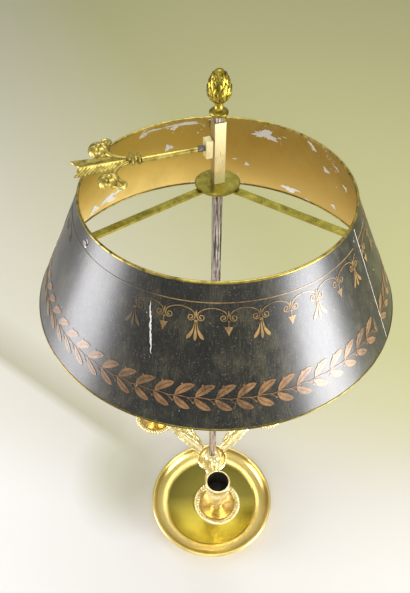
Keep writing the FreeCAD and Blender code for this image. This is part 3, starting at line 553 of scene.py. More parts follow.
def grow(name, tree, body, slot, crease=40.0, stands_for=(), **values):
    """Run a tree with these input values and keep what it makes as a piece."""
    carrier = add_object(f"{name}_carrier", bpy.data.meshes.new(f"{name}_carrier"))
    modifier = carrier.modifiers.new("grow", "NODES")
    modifier.node_group = tree
    for item in tree.interface.items_tree:
        if item.in_out == "INPUT":
            modifier[item.identifier] = values[item.name]
    graph = bpy.context.evaluated_depsgraph_get()
    graph.update()
    mesh = bpy.data.meshes.new_from_object(carrier.evaluated_get(graph))
    bpy.data.objects.remove(carrier)
    finish_mesh(name, mesh, None, body, crease, stands_for)
    print(f"{name}: {len(mesh.polygons)} faces")

# %% [markdown]
# **Ring tree.** Copies of a motif round an axis. The motif is modelled where the first copy goes, so
# every copy only has to turn: its index times a full turn, divided by the count. Gadroons and petals use
# it.

# %% The ring tree


def ring_of_copies(tree, motif, count, centre):
    spots = add_node(tree, "GeometryNodeMeshLine", Count=count, Offset=(0, 0, 0)).outputs[0]
    spots = add_node(tree, "GeometryNodeSetPosition", Geometry=spots, Position=centre).outputs[0]
    index = add_node(tree, "GeometryNodeInputIndex").outputs[0]
    turn = sums(tree, "DIVIDE", sums(tree, "MULTIPLY", index, 2 * math.pi), count)
    return copies_at(tree, motif, spots, Rotation=vector_of(tree, z=turn))


ring_tree = new_tree(ring_of_copies, motif="Object", count="Int", centre="Vector")
print("ring tree:", len(ring_tree.nodes), "nodes")

# %% [markdown]
# **Pine-cone tree.** The founder's cone is more regular than a real one: rows of scales, each row turned
# by half a scale, so that their edges draw diamonds. Curves say how far out a scale stands, how much it
# leans and how big it is at each height.

# %% The pine-cone tree
# Each curve is drawn through (way up the cone, value). A lean is in half turns.
CONE_OUTLINE = [(0.0, 1.0), (0.2, 0.94), (0.4, 0.86), (0.6, 0.76), (0.8, 0.60), (1.0, 0.2)]
CONE_LEAN = [(0.0, 0.46), (0.3, 0.42), (0.6, 0.36), (0.8, 0.26), (1.0, 0.04)]
CONE_SIZE = [(0.0, 1.0), (0.4, 0.92), (0.8, 0.74), (1.0, 0.42)]


def curve_of(tree, factor, stops):
    """A drawn curve through (input, output) stops."""
    node = add_node(tree, "ShaderNodeFloatCurve", Value=factor)
    points = node.mapping.curves[0].points
    while len(points) < len(stops):
        points.new(0.5, 0.5)
    for point, place in zip(points, stops):
        point.location = place
    node.mapping.update()
    return node.outputs[0]


def round_axis(tree, radius, angle, level):
    """The place at a radius, an angle and a height."""
    return vector_of(tree, sums(tree, "MULTIPLY", radius, sums(tree, "COSINE", angle)),
                     sums(tree, "MULTIPLY", radius, sums(tree, "SINE", angle)), level)


def pine_cone(tree, motif, count, per_row, centre, radius, height):
    spots = add_node(tree, "GeometryNodeMeshLine", Count=count, Offset=(0, 0, 0)).outputs[0]
    index = add_node(tree, "GeometryNodeInputIndex").outputs[0]
    row = sums(tree, "FLOOR", sums(tree, "DIVIDE", index, per_row))
    way = sums(tree, "DIVIDE", sums(tree, "MULTIPLY", row, per_row), count)
    turn = sums(tree, "DIVIDE", sums(tree, "MULTIPLY_ADD", row, 0.5, index), per_row)
    turn = sums(tree, "MULTIPLY", turn, 2 * math.pi)
    out = sums(tree, "MULTIPLY", curve_of(tree, way, CONE_OUTLINE), radius)
    place = round_axis(tree, out, turn, sums(tree, "MULTIPLY", way, height))
    place = add_node(tree, "ShaderNodeVectorMath", {"operation": "ADD"}, i0=place, i1=centre).outputs[0]
    spots = add_node(tree, "GeometryNodeSetPosition", Geometry=spots, Position=place).outputs[0]
    lean = sums(tree, "MULTIPLY", curve_of(tree, way, CONE_LEAN), math.pi)
    lean = sums(tree, "SUBTRACT", lean, math.pi / 2)
    return copies_at(tree, motif, spots, Rotation=vector_of(tree, y=lean, z=turn),
                     Scale=curve_of(tree, way, CONE_SIZE))


cone_tree = new_tree(pine_cone, motif="Object", count="Int", per_row="Int", centre="Vector", radius="Float",
                     height="Float")
print("pine-cone tree:", len(cone_tree.nodes), "nodes")

# %% [markdown]
# **Frieze tree.** The shade's ornament was painted with the sheet flat and then rolled. The tree does the
# same: it lays copies of a motif side by side on a flat strip, leaves out those that are worn away, and
# rolls the strip on the cone. Along the strip becomes an angle, up the strip becomes a distance up the
# wall, and the motif's thickness stands out of the wall.

# %% The frieze tree


def rolled_frieze(tree, motif, count, drop, start, lift, worn_from, worn_to):
    radius = sums(tree, "MULTIPLY_ADD", drop, math.sin(SHADE_SLOPE), SHADE_TOP_RADIUS)
    step = sums(tree, "DIVIDE", sums(tree, "MULTIPLY", radius, 2 * math.pi), count)
    spots = add_node(tree, "GeometryNodeMeshLine", Count=count, Offset=vector_of(tree, x=step)).outputs[0]
    index = add_node(tree, "GeometryNodeInputIndex").outputs[0]
    worn = sums(tree, "MULTIPLY",
                sums(tree, "GREATER_THAN", index, sums(tree, "SUBTRACT", worn_from, 0.5)),
                sums(tree, "LESS_THAN", index, sums(tree, "SUBTRACT", worn_to, 0.5)))
    spots = add_node(tree, "GeometryNodeDeleteGeometry", Geometry=spots, Selection=worn).outputs[0]
    strip = add_node(tree, "GeometryNodeRealizeInstances", Geometry=copies_at(tree, motif, spots))
    place = add_node(tree, "GeometryNodeInputPosition").outputs[0]
    along, up, out = add_node(tree, "ShaderNodeSeparateXYZ", Vector=place).outputs
    angle = sums(tree, "ADD", sums(tree, "DIVIDE", along, radius), start)
    down = sums(tree, "SUBTRACT", drop, up)
    out = sums(tree, "ADD", out, lift)
    ring = sums(tree, "MULTIPLY_ADD", down, math.sin(SHADE_SLOPE), SHADE_TOP_RADIUS)
    ring = sums(tree, "MULTIPLY_ADD", out, math.cos(SHADE_SLOPE), ring)
    level = sums(tree, "MULTIPLY_ADD", down, -math.cos(SHADE_SLOPE), SHADE_TOP)
    level = sums(tree, "MULTIPLY_ADD", out, math.sin(SHADE_SLOPE), level)
    return add_node(tree, "GeometryNodeSetPosition", Geometry=strip.outputs[0],
                    Position=round_axis(tree, ring, angle, level)).outputs[0]


frieze_tree = new_tree(rolled_frieze, motif="Object", count="Int", drop="Float", start="Float", lift="Float",
                       worn_from="Int", worn_to="Int")
print("frieze tree:", len(frieze_tree.nodes), "nodes")

# %% [markdown]
# ## The shade
# The shade is one sheet of iron bent to a cone, with a lapped seam. It was painted black outside and
# ochre inside, then the ornament was stencilled in copper. Each paint is its own thin sheet here, so that
# the two sides never share a finish. The black has dulled in long streaks, has caught dust, and shows
# rust where it is thin. The streaks are noise that is stretched down the wall, so they follow the cone.

# %% Black paint for the shade
WALL_RADIUS = 140.0


def cone_place(tree, across=1.0, down=1.0):
    """Millimetres on the shade's wall with no seam: a direction round the axis, and the height."""
    x, y, level = place_parts(tree)
    flat = add_node(tree, "ShaderNodeVectorMath", {"operation": "NORMALIZE"}, i0=vector_of(tree, x, y))
    round_it = add_node(tree, "ShaderNodeVectorMath", {"operation": "SCALE"}, Vector=flat.outputs[0],
                        Scale=WALL_RADIUS * across).outputs[0]
    level = vector_of(tree, z=sums(tree, "MULTIPLY", level, down))
    return add_node(tree, "ShaderNodeVectorMath", {"operation": "ADD"}, i0=round_it, i1=level).outputs[0]


shade_black, tree, surface = new_material("shade_black")
streaks = noise(tree, cone_place(tree, 1.0, 0.16), 1.0, 5.0, 0.75)
clouds = noise(tree, cone_place(tree, 1.0, 0.6), 16.0, 4.0, 0.6)
tone = sums(tree, "MULTIPLY_ADD", streaks, 0.45, sums(tree, "MULTIPLY", clouds, 0.55))
tone = ramp(tree, tone, (0.38, (0.004, 0.004, 0.003)), (0.50, (0.012, 0.012, 0.009)),
            (0.62, (0.052, 0.047, 0.027)))
dust = ramp(tree, noise(tree, cone_place(tree), 1.2, 3.0, 0.7), (0.60, 0.0), (0.70, 1.0))
tone = blend_colours(tree, sums(tree, "MULTIPLY", dust, 0.6), tone, (0.25, 0.225, 0.16))
rust = ramp(tree, noise(tree, cone_place(tree), 5.0, 5.0, 0.7), (0.66, 0.0), (0.72, 1.0))
tone = blend_colours(tree, sums(tree, "MULTIPLY", rust, 0.5), tone, (0.10, 0.055, 0.025))
tree.links.new(tone, surface.inputs["Base Color"])
surface.inputs["IOR"].default_value = 1.56
tree.links.new(sums(tree, "MULTIPLY_ADD", streaks, 0.20, 0.24), surface.inputs["Roughness"])
tree.links.new(bump(tree, streaks, 0.014), surface.inputs["Normal"])
print("black paint:", len(tree.nodes), "nodes")

# %% [markdown]
# ** Ochre inside.** The inner coat is matt. It is darker towards the top, and on its right side it is
# darkened with painted shade. It has flaked off to a pale primer and here and there to bare iron. One
# noise makes the flakes: its peaks are primer, and the highest of them are bare.

# %% Ochre paint inside
shade_ochre, tree, surface = new_material("shade_ochre")
depth = share_between(tree, place_parts(tree)[2], SHADE_BOTTOM / MM, SHADE_TOP / MM)
tone = ramp(tree, depth, (0.0, (0.70, 0.52, 0.17)), (0.35, (0.59, 0.41, 0.095)),
            (0.7, (0.50, 0.335, 0.050)), (1.0, (0.44, 0.30, 0.040)))
# Painted shade: the inner wall is darkened on its right side.
painted_shade_side = along_mask(15, (-40.0, 0.0), (70.0, 0.75))(tree)
tone = blend_colours(tree, painted_shade_side, tone, (0.62, 0.54, 0.40), "MULTIPLY")
clouds = noise(tree, cone_place(tree, 1.0, 0.6), 22.0, 5.0, 0.6)
tone = blend_colours(tree, ramp(tree, clouds, (0.42, 0.0), (0.70, 0.50)), tone, (0.42, 0.29, 0.07))
losses = noise(tree, cone_place(tree, 0.6, 1.0), 15.0, 8.0, 0.62, 0.4)
near_edge = ramp(tree, depth, (0.0, 0.06), (0.14, 0.0), (0.70, 0.0), (0.93, 0.10))
losses = sums(tree, "ADD", losses, near_edge)
loss_mask = ramp(tree, losses, (0.70, 0.0), (0.715, 1.0))
tone = blend_colours(tree, loss_mask, tone, (0.74, 0.72, 0.67))
bare = ramp(tree, losses, (0.76, 0.0), (0.78, 1.0))
tone = blend_colours(tree, bare, tone, (0.34, 0.33, 0.31))
tree.links.new(tone, surface.inputs["Base Color"])
surface.inputs["Roughness"].default_value = 0.6
surface.inputs["Specular IOR Level"].default_value = 0.15
tree.links.new(bump(tree, sums(tree, "SUBTRACT", 1.0, loss_mask), 0.05), surface.inputs["Normal"])
print("ochre paint:", len(tree.nodes), "nodes")

# %% [markdown]
# **Ornament paints.** The ornament is bronze powder in varnish: hardly metallic any more, rubbed through
# in places, and most faded on the left. The band and the leaves differ only in tone, so one recipe makes
# both. Where paint is gone, the pale primer shows.

# %% Bronze, copper and primer


def ornament_paint(name, dull, bright, left_wear):
    """Bronze powder in varnish, rubbed through in places."""
    paint, tree, surface = new_material(name)
    rubbing = noise(tree, cone_place(tree, 1.0, 0.7), 2.6, 5.0, 0.7)
    wide_rubbing = noise(tree, cone_place(tree, 1.0, 1.0), 40.0, 2.0, 0.5)
    tone = ramp(tree, noise(tree, cone_place(tree), 6.0, 3.0), (0.3, dull), (0.7, bright))
    worn = sums(tree, "MULTIPLY_ADD", wide_rubbing, 0.5, sums(tree, "MULTIPLY", rubbing, 0.5))
    tone = blend_colours(tree, ramp(tree, worn, (0.51, 0.0), (0.64, 0.75)), tone, (0.045, 0.032, 0.020))
    faded = sums(tree, "MULTIPLY", along_mask(180, (34.0, 0.0), (52.0, 1.0))(tree), left_wear)
    tone = blend_colours(tree, faded, tone, (0.035, 0.027, 0.018))
    tree.links.new(tone, surface.inputs["Base Color"])
    surface.inputs["Metallic"].default_value = 0.12
    surface.inputs["IOR"].default_value = 1.56
    surface.inputs["Roughness"].default_value = 0.36
    return paint


copper_paint = ornament_paint("copper_paint", (0.18, 0.092, 0.036), (0.34, 0.18, 0.075), 0.30)
bronze_paint = ornament_paint("bronze_paint", (0.24, 0.14, 0.050), (0.44, 0.28, 0.10), 0.82)
chipped, tree, surface = new_material("chipped_ground")
grain = noise(tree, object_place(tree), 0.6, 3.0, 0.6)
tree.links.new(ramp(tree, grain, (0.3, (0.42, 0.40, 0.36)), (0.6, (0.80, 0.79, 0.76))),
               surface.inputs["Base Color"])
surface.inputs["Roughness"].default_value = 0.6
print("ornament paints:", copper_paint.name, "and", bronze_paint.name)

# %% [markdown]
# **A grid with a thickness.** A leaf, a petal, a feather and the shade's sheet are each a rectangle of
# points that has been bent. With a thickness it becomes a closed shell, which is what a casting or a
# sheet is. A Solidify modifier would do the same, but it would have to be applied to every piece.

# %% A grid with a thickness


def shell(grid, thickness):
    """Points and faces of a grid of points that is given a thickness."""
    grid = np.asarray(grid, float)
    rows, columns, _ = grid.shape
    along = np.gradient(grid, axis=0)
    across = np.gradient(grid, axis=1)
    normal = np.cross(along, across)
    normal /= np.maximum(np.linalg.norm(normal, axis=2, keepdims=True), 1e-9)
    normal *= thickness / 2
    points = np.concatenate([(grid + normal).reshape(-1, 3), (grid - normal).reshape(-1, 3)])
    faces = []
    lower = rows * columns
    for i in range(rows - 1):
        for j in range(columns - 1):
            a, d = i * columns + j, (i + 1) * columns + j
            faces += [(a, a + 1, d + 1, d), (lower + d, lower + d + 1, lower + a + 1, lower + a)]
    border = ([(0, j) for j in range(columns - 1)] + [(i, columns - 1) for i in range(rows - 1)]
              + [(rows - 1, j) for j in range(columns - 1, 0, -1)]
              + [(i, 0) for i in range(rows - 1, 0, -1)])
    rim = [i * columns + j for i, j in border]
    for first, second in zip(rim, rim[1:] + rim[:1]):
        faces.append((second, first, lower + first, lower + second))
    return points, faces

# %% [markdown]
# **Two skins.** Each side of the sheet is a thin shell of its own that goes once round and laps over its
# own edge, as the real sheet does. The lap stands out by less than a millimetre, which is enough to draw
# the seam.

# %% The sheet, outside and inside
SEAM_ANGLE = math.radians(-31)
LAP = math.radians(3.2)
LAP_LIFT = 0.75
SKIN_SHARE = 0.46


def sheet(name, wall_share, finish):
    """A skin of the sheet; wall_share says how deep in the wall its middle lies."""
    angles = np.linspace(SEAM_ANGLE, SEAM_ANGLE + 2 * math.pi + LAP, 241)
    lift = np.interp(angles, [angles[-1] - 1.6 * LAP, angles[-1] - LAP], [0.0, LAP_LIFT])
    inset = SHADE_WALL / MM * wall_share
    grid = []
    for way in np.linspace(0, 1, 7):
        radius = (SHADE_TOP_RADIUS + (SHADE_BOTTOM_RADIUS - SHADE_TOP_RADIUS) * way) / MM - inset - 0.1
        height = (SHADE_TOP + (SHADE_BOTTOM - SHADE_TOP) * way) / MM
        grid.append(np.stack([(radius + lift) * np.cos(angles), (radius + lift) * np.sin(angles),
                              np.full(len(angles), height)], axis=1))
    points, faces = shell(np.array(grid), SHADE_WALL / MM * SKIN_SHARE)
    finish_piece(name, points, faces, finish, "shade_carriage", "shade_paint", 30.0, ("shade_cone",))
    print(f"{name}: {len(faces)} faces")


sheet("shade_outside", 0.27, shade_black)
sheet("shade_inside", 0.73, shade_ochre)

# %% [markdown]
# **Strokes.** The ornament was painted through a stencil, so every part of it is a flat stroke: a path
# with a width at each point. Strokes are drawn flat, in millimetres, as thick as a coat of paint, and the
# frieze tree rolls them on the shade. A painted texture would be lighter, but its edges would blur close
# by.

# %% Strokes of the stencil


def stroke(path, widths, thick=0.13):
    """A flat stroke of paint along a path, with a width at each point."""
    path = np.asarray(path, float)
    widths = np.broadcast_to(np.asarray(widths, float), len(path))
    ahead = np.gradient(path, axis=0)
    ahead /= np.linalg.norm(ahead, axis=1, keepdims=True)
    side = np.stack([-ahead[:, 1], ahead[:, 0]], axis=1) * widths[:, None] / 2
    corners = [(path + side, thick), (path - side, thick), (path - side, 0.0), (path + side, 0.0)]
    layers = [np.column_stack([flat, np.full(len(path), level)]) for flat, level in corners]
    points = np.stack(layers, axis=1)
    faces = [(3, 2, 1, 0)]
    for i in range(len(path) - 1):
        for j in range(4):
            k = (j + 1) % 4
            faces.append((4 * i + j, 4 * i + k, 4 * i + 4 + k, 4 * i + 4 + j))
    last = 4 * (len(path) - 1)
    faces.append((last, last + 1, last + 2, last + 3))
    return points.reshape(-1, 3), faces


def bent_path(start, end, bend, samples):
    """A path whose middle is pushed sideways, and the share of the way at each of its points."""
    start, end = np.array(start, float), np.array(end, float)
    share = np.linspace(0, 1, samples)
    across = np.array([-(end - start)[1], (end - start)[0]])
    return start + np.outer(share, end - start) + np.outer(np.sin(math.pi * share) * bend, across), share


def leaf_stroke(start, end, width, bend=0.0):
    """A small leaf from start to end, widest near its middle."""
    path, share = bent_path(start, end, bend, 6)
    return stroke(path, np.maximum(width * np.sin(math.pi * share ** 0.8), 0.15))


def curl(centre, radius, eye, start_angle, turns, samples=12):
    """Points of a flat curl from its outside to its eye."""
    t = np.linspace(0, 1, samples)
    angle = math.radians(start_angle) + 2 * math.pi * turns * t
    size = radius + (eye - radius) * t
    return np.stack([centre[0] + size * np.cos(angle), centre[1] + size * np.sin(angle)], axis=1)

# %% [markdown]
# **Smooth paths.** A few points with a smooth curve through them are easier to change than a long list.
# The curve passes through every point, as a bent wire passes its nails. A second helper joins forms, so
# that a motif can have many strokes.

# %% Smooth paths and joined forms


def through(points, samples):
    """A smooth path through points (Catmull-Rom), sampled evenly in its parameter."""
    knots = np.asarray(points, float)
    knots = np.vstack([2 * knots[0] - knots[1], knots, 2 * knots[-1] - knots[-2]])
    result = []
    for value in np.linspace(0, len(points) - 1, samples):
        k = min(int(value), len(points) - 2)
        u = value - k
        a, b, c, d = knots[k:k + 4]
        result.append(0.5 * (2 * b + (c - a) * u + (2 * a - 5 * b + 4 * c - d) * u ** 2
                             + (3 * b - a - 3 * c + d) * u ** 3))
    return np.array(result)


def joined(*forms):
    """Several point-and-face forms as one."""
    points, faces, base = [], [], 0
    for form_points, form_faces in forms:
        points.append(np.asarray(form_points, float))
        faces += [tuple(i + base for i in face) for face in form_faces]
        base += len(form_points)
    return np.vstack(points), faces

# %% [markdown]
# **The band.** The upper band is a row of arches that spring from curls, with tassels and drops hanging
# from them in turn. Each motif is drawn once, as wide as one repeat, which comes from the cone's girth at
# that height and the count of repeats in the photo.

# %% Motifs of the band
BAND_DROP = 25.4 * MM
PENDANTS = 34
PAINT_LIFT = 0.08 * MM
band_radius = SHADE_TOP_RADIUS + BAND_DROP * math.sin(SHADE_SLOPE)
span = 2 * math.pi * band_radius / PENDANTS / MM

left_curl = curl((3.7, 0.0), 2.9, 0.8, 180, 1.3, 14)
arch_line = through([(0.8, 0.4), (2.0, 4.0), (6.4, 6.6), (span / 2, 7.6)], 8)[1:]
half_arch = np.vstack([left_curl[::-1], arch_line])
other_half = (half_arch * (-1, 1) + (span, 0))[::-1][1:]
arch_path = np.vstack([half_arch, other_half])
arch_share = np.linspace(0, 1, len(arch_path))
arch = stroke(arch_path, np.interp(arch_share, [0, 0.1, 0.25, 0.5, 0.75, 0.9, 1],
                                   [1.3, 0.75, 0.7, 0.5, 0.7, 0.75, 1.3]))


def husk(start, end, width, bend=0.0):
    """A long petal that is narrow at the top, swells low down and ends in a point."""
    path, share = bent_path(start, end, bend, 9)
    return stroke(path, np.interp(share, [0, 0.35, 0.65, 0.85, 0.96, 1.0],
                                  [0.3, 0.8, width * 0.85, width, width * 0.7, 0.3]))


tassel = joined(leaf_stroke((0, 5.2), (0, 0.0), 1.2),
                stroke([(-1.2, -2.6), (0, -2.6), (1.2, -2.6)], [0.6, 1.3, 0.6]),
                husk((0, -3.2), (0, -18.4), 2.3), husk((-0.9, -3.4), (-6.0, -17.2), 2.7, 0.09),
                husk((0.9, -3.4), (6.0, -17.2), 2.7, -0.09), leaf_stroke((-1.6, -3.4), (1.6, -3.4), 0.8))
drop = joined(leaf_stroke((0, 5.2), (0, 0.0), 1.0),
              stroke([(-1.0, -2.6), (0, -2.6), (1.0, -2.6)], [0.5, 1.2, 0.5]),
              stroke([(0, -2.6), (0, -5.0), (0, -7.6)], 0.55),
              stroke([(0, -6.8), (0, -7.6), (0, -9.4), (0, -11.8), (0, -14.0)], [1.6, 5.6, 4.0, 1.7, 0.2]),
              leaf_stroke((-0.2, -7.0), (-3.4, -6.6), 1.0, 0.2),
              leaf_stroke((0.2, -7.0), (3.4, -6.6), 1.0, -0.2))
print(f"one arch is {span:.2f} mm wide")

# %% [markdown]
# **The laurel.** The lower ornament is a wavy branch with two leaves and two berries to each repeat. The
# leaves' ribs are left black in the photo, so they are thin black strokes laid over the copper.

# %% Motif of the laurel
LAUREL_DROP = 90.5 * MM
LAUREL_PAIRS = 61
laurel_radius = SHADE_TOP_RADIUS + LAUREL_DROP * math.sin(SHADE_SLOPE)
pair = 2 * math.pi * laurel_radius / LAUREL_PAIRS / MM


def oval_leaf(start, end, width, bend):
    """Path and widths of a laurel leaf."""
    path, share = bent_path(start, end, bend, 9)
    return path, np.interp(share, [0, 0.12, 0.3, 0.5, 0.7, 0.88, 1.0],
                           [0.3, width * 0.50, width * 0.90, width, width * 0.92, width * 0.58, 0.12])


upper_path, upper_width = oval_leaf((0.4, 0.6), (15.4, 11.0), 6.4, 0.09)
lower_path, lower_width = oval_leaf((-0.4, -0.6), (12.4, -9.6), 5.9, -0.08)
branch = [(x * pair / 4, 0.5 * math.sin(x * math.pi / 2)) for x in range(5)]
berry = np.array([(-0.75, 0), (-0.4, 0), (0.4, 0), (0.75, 0)])
berry_width = [0.4, 1.35, 1.35, 0.4]
laurel = joined(stroke(branch, 0.55), stroke(upper_path, upper_width), stroke(lower_path, lower_width),
                stroke(berry + (5.6, 10.8), berry_width),
                stroke([(3.4, 3.2), (4.2, 7.0), (5.4, 10.2)], 0.4),
                stroke(berry + (14.6, -4.4), berry_width),
                stroke([(10.0, -0.4), (12.4, -2.0), (14.2, -4.0)], 0.4))
laurel_ribs = joined(stroke(upper_path[1:-1], 0.38), stroke(lower_path[1:-1], 0.34))
print(f"one pair of leaves is {pair:.2f} mm wide")

# %% [markdown]
# **Turned forms.** Most of the lamp's brass was turned on a lathe. A section is a list of radius and
# height, and it is swept round the axis. A Screw modifier does the same, but here a wave can also change
# the section on its way round, which carves flutes. The first form made this way is the thin line on the
# shade.

# %% Turned forms


def lathe(section, steps=96, wave=None):
    """Points and faces turned about Z from a closed section of (radius, height).

    wave(angle, radius, height) may return a new radius and height, which carves flutes.
    """
    angles = np.linspace(0, 2 * math.pi, steps, endpoint=False)
    points, faces = [], []
    count = len(section)
    for angle in angles:
        for radius, level in section:
            if wave:
                radius, level = wave(angle, radius, level)
            points.append((radius * math.cos(angle), radius * math.sin(angle), level))
    for i in range(steps):
        k = (i + 1) % steps
        for j in range(count):
            following = (j + 1) % count
            faces.append((i * count + j, k * count + j, k * count + following, i * count + following))
    return np.array(points), faces

# %% [markdown]
# **Rolling the friezes.** The first copy's angle is read from the photo. Copies on the left that are
# rubbed away in the photo are left out: they are given as the first worn copy and the next sound one. The
# thin line above the band runs all round, so it is simply turned.

# %% Roll the friezes on the shade
TASSEL_ANGLE = -98.8
LAUREL_ANGLE = -92.0
RIB_LIFT = 0.16 * MM
LINE_DROP = 13.8 * MM
WORN_ARCHES = (28, 32)
WORN_TASSELS = (14, 16)
WORN_DROPS = (13, 16)


def frieze(name, form, count, drop_down, start_degrees, finish, lift=PAINT_LIFT, worn=(0, 0)):
    motif = motif_object(f"{name}_motif", form)
    grow(name, frieze_tree, "shade_carriage", "shade_paint", motif=motif, count=count, drop=drop_down,
         start=math.radians(start_degrees), lift=lift, worn_from=worn[0], worn_to=worn[1], finish=finish)
    bpy.data.objects.remove(motif)


frieze("shade_arches", arch, PENDANTS, BAND_DROP, TASSEL_ANGLE, bronze_paint, worn=WORN_ARCHES)
frieze("shade_tassels", tassel, PENDANTS // 2, BAND_DROP, TASSEL_ANGLE, bronze_paint, worn=WORN_TASSELS)
frieze("shade_drops", drop, PENDANTS // 2, BAND_DROP, TASSEL_ANGLE + 180 / (PENDANTS / 2), bronze_paint,
       worn=WORN_DROPS)
frieze("shade_laurel", laurel, LAUREL_PAIRS, LAUREL_DROP, LAUREL_ANGLE, copper_paint)
frieze("shade_laurel_ribs", laurel_ribs, LAUREL_PAIRS, LAUREL_DROP, LAUREL_ANGLE, shade_black, RIB_LIFT)

line_radius = (SHADE_TOP_RADIUS + LINE_DROP * math.sin(SHADE_SLOPE)) / MM
line_level = (SHADE_TOP - LINE_DROP * math.cos(SHADE_SLOPE)) / MM
points, faces = lathe([(line_radius - 0.2, line_level + 0.24), (line_radius + 0.13, line_level + 0.24),
                       (line_radius + 0.35, line_level - 0.24), (line_radius, line_level - 0.24)], 192)
finish_piece("shade_line", points, faces, bronze_paint, "shade_carriage", "shade_paint")

# %% [markdown]
# ** Wear.** Paint is chipped where the sheet was knocked: a long scratch down the front left, a pale edge
# along the seam that is worn paint and a painted highlight, a chip round each rivet in front, and small
# chips all over. Each is a thin strip on the wall in the primer's colour. Its ragged width comes from
# seeded chance, so a second run makes the same marks.

# %% Wear on the shade
CHIPS = 16
SEED = 7


def on_wall(angle_degrees, drop_mm, out_mm):
    """A point in millimetres on the shade's outer face."""
    angle = math.radians(angle_degrees)
    radius = (SHADE_TOP_RADIUS / MM + drop_mm * math.sin(SHADE_SLOPE) + out_mm * math.cos(SHADE_SLOPE))
    level = SHADE_TOP / MM - drop_mm * math.cos(SHADE_SLOPE) + out_mm * math.sin(SHADE_SLOPE)
    return (radius * math.cos(angle), radius * math.sin(angle), level)


def scratch(name, stations, out_mm=0.12, half_thick=0.05):
    """A thin closed strip on the wall; a station is (angle in degrees, drop, width)."""
    grid = []
    for angle, drop_mm, width in stations:
        half = math.degrees(width / 2 / (SHADE_TOP_RADIUS / MM + drop_mm * math.sin(SHADE_SLOPE)))
        grid.append([on_wall(angle - half, drop_mm, out_mm), on_wall(angle, drop_mm, out_mm),
                     on_wall(angle + half, drop_mm, out_mm)])
    points, faces = shell(grid, half_thick * 2)
    finish_piece(name, points, faces, chipped, "shade_carriage", "shade_paint")


chance = random.Random(SEED)
scratch("shade_scratch", [(-114.7 + 2.6 * way + chance.uniform(-0.16, 0.16), 20 + 41 * way,
                           (0.25 + 1.5 * math.sin(math.pi * way) ** 0.7) * chance.uniform(0.5, 1.2))
                          for way in np.linspace(0, 1, 30)])
# A pale strip along the seam's edge: worn paint and a painted highlight.
scratch("shade_seam_wear", [(math.degrees(SEAM_ANGLE + LAP) - 0.05, 2 + 112 * way, chance.uniform(0.35, 0.8))
                            for way in np.linspace(0, 1, 50)], 0.72)
for side_name, rivet_angle in (("left", -150.0), ("right", -30.0)):
    stations = [(rivet_angle + 0.5 * math.sin(9 * way), 5.2 + 7.2 * way,
                 5.4 * math.sin(math.pi * way) ** 0.6 * chance.uniform(0.75, 1.1) + 0.2)
                for way in np.linspace(0, 1, 13)]
    scratch(f"shade_rivet_chip_{side_name}", stations, 0.10)
for index in range(CHIPS):
    middle_angle = chance.uniform(-165, -15)
    middle_drop = chance.uniform(6, 112)
    size = chance.uniform(0.25, 0.55)
    stations = [(middle_angle + chance.uniform(-0.1, 0.1), middle_drop + size * (way - 0.5) * 1.6,
                 size * math.sin(math.pi * (0.1 + 0.8 * way))) for way in np.linspace(0, 1, 5)]
    scratch(f"shade_chip_{index}", stations)
print("small chips:", CHIPS)

# %% [markdown]
# **Lost paint inside.** The small losses of the ochre are noise in its material. The large ones have a
# place in the photo, so they are modelled: thin patches of primer with a ragged edge on the inner wall.

# %% Lost paint inside the shade
EDGE_STEPS = 40
INNER_FACE = -0.98
# Name, angle in degrees, distance down the wall, width and height in millimetres.
LOSSES = [
    ("top_left", 105, 4, 45, 6), ("top_left_end", 120, 4, 25, 4), ("top_right", 65, 16, 32, 20),
    ("low_right", 57, 106, 28, 13), ("low_left", 135, 100, 26, 20), ("far_left", 142, 104, 18, 20),
    ("right_small", 34, 35, 11, 10), ("right_low", 36, 98, 8, 9), ("right_edge", 22, 40, 9, 11),
    ("middle", 75, 75, 6, 8), ("left_middle", 110, 40, 11, 14), ("low_middle_left", 130, 92, 18, 12),
]


def lost_paint(name, angle_degrees, drop_mm, wide, tall):
    """A thin patch of primer with a ragged edge on the inner wall."""
    edge = []
    for step in range(EDGE_STEPS):
        turn_share = 2 * math.pi * step / EDGE_STEPS
        ragged = 0.72 + 0.22 * math.sin(3 * turn_share + wide) + chance.uniform(-0.2, 0.2)
        edge.append((wide / 2 * ragged * math.cos(turn_share), tall / 2 * ragged * math.sin(turn_share)))
    here = SHADE_TOP_RADIUS / MM + drop_mm * math.sin(SHADE_SLOPE)
    grid = []
    ring = edge + edge[:1]
    for share in (0.02, 0.35, 0.7, 1.0):
        grid.append([on_wall(angle_degrees + math.degrees(across * share / here),
                             max(drop_mm + down * share, 0.6), INNER_FACE) for across, down in ring])
    points, faces = shell(np.array(grid), 0.12)
    finish_piece(f"shade_loss_{name}", points, faces, chipped, "shade_carriage", "shade_paint", 80.0)


for spot_name, angle, drop_mm, wide, tall in LOSSES:
    lost_paint(spot_name, angle, drop_mm, wide, tall)
print("patches of lost paint:", len(LOSSES))

# %% [markdown]
# ## The pine cone
# A cast cone on a turned foot: a disc, a narrow neck and a fluted calyx. Its scales are pointed leaves
# that overlap like tiles, and the pine-cone tree sets them in their rows.

# %% The finial
FINIAL_FOOT = node_box("finial")[0].z / MM
CALYX_FOOT = FINIAL_FOOT + 3.3
CALYX_LOBES = 14


def raised(section, level):
    """A section of (radius, height), moved up."""
    return [(radius, level + height) for radius, height in section]


def finial_part(name, section, level, steps, crease=60.0, wave=None):
    points, faces = lathe(raised(section, level), steps, wave)
    finish_piece(name, points, faces, finial_gilt, "stand", "finial_gilt", crease, ("finial",))


def calyx_wave(angle, radius, level):
    """Lobes that deepen towards the calyx's upper edge."""
    lobe = abs(math.cos(angle * CALYX_LOBES / 2))
    share = min(max((level - CALYX_FOOT - 8.2) / 2.0, 0.0), 1.0)
    return radius * (1 - 0.22 * share * (1 - lobe)), level + 0.8 * share * lobe * (radius > 7.0)


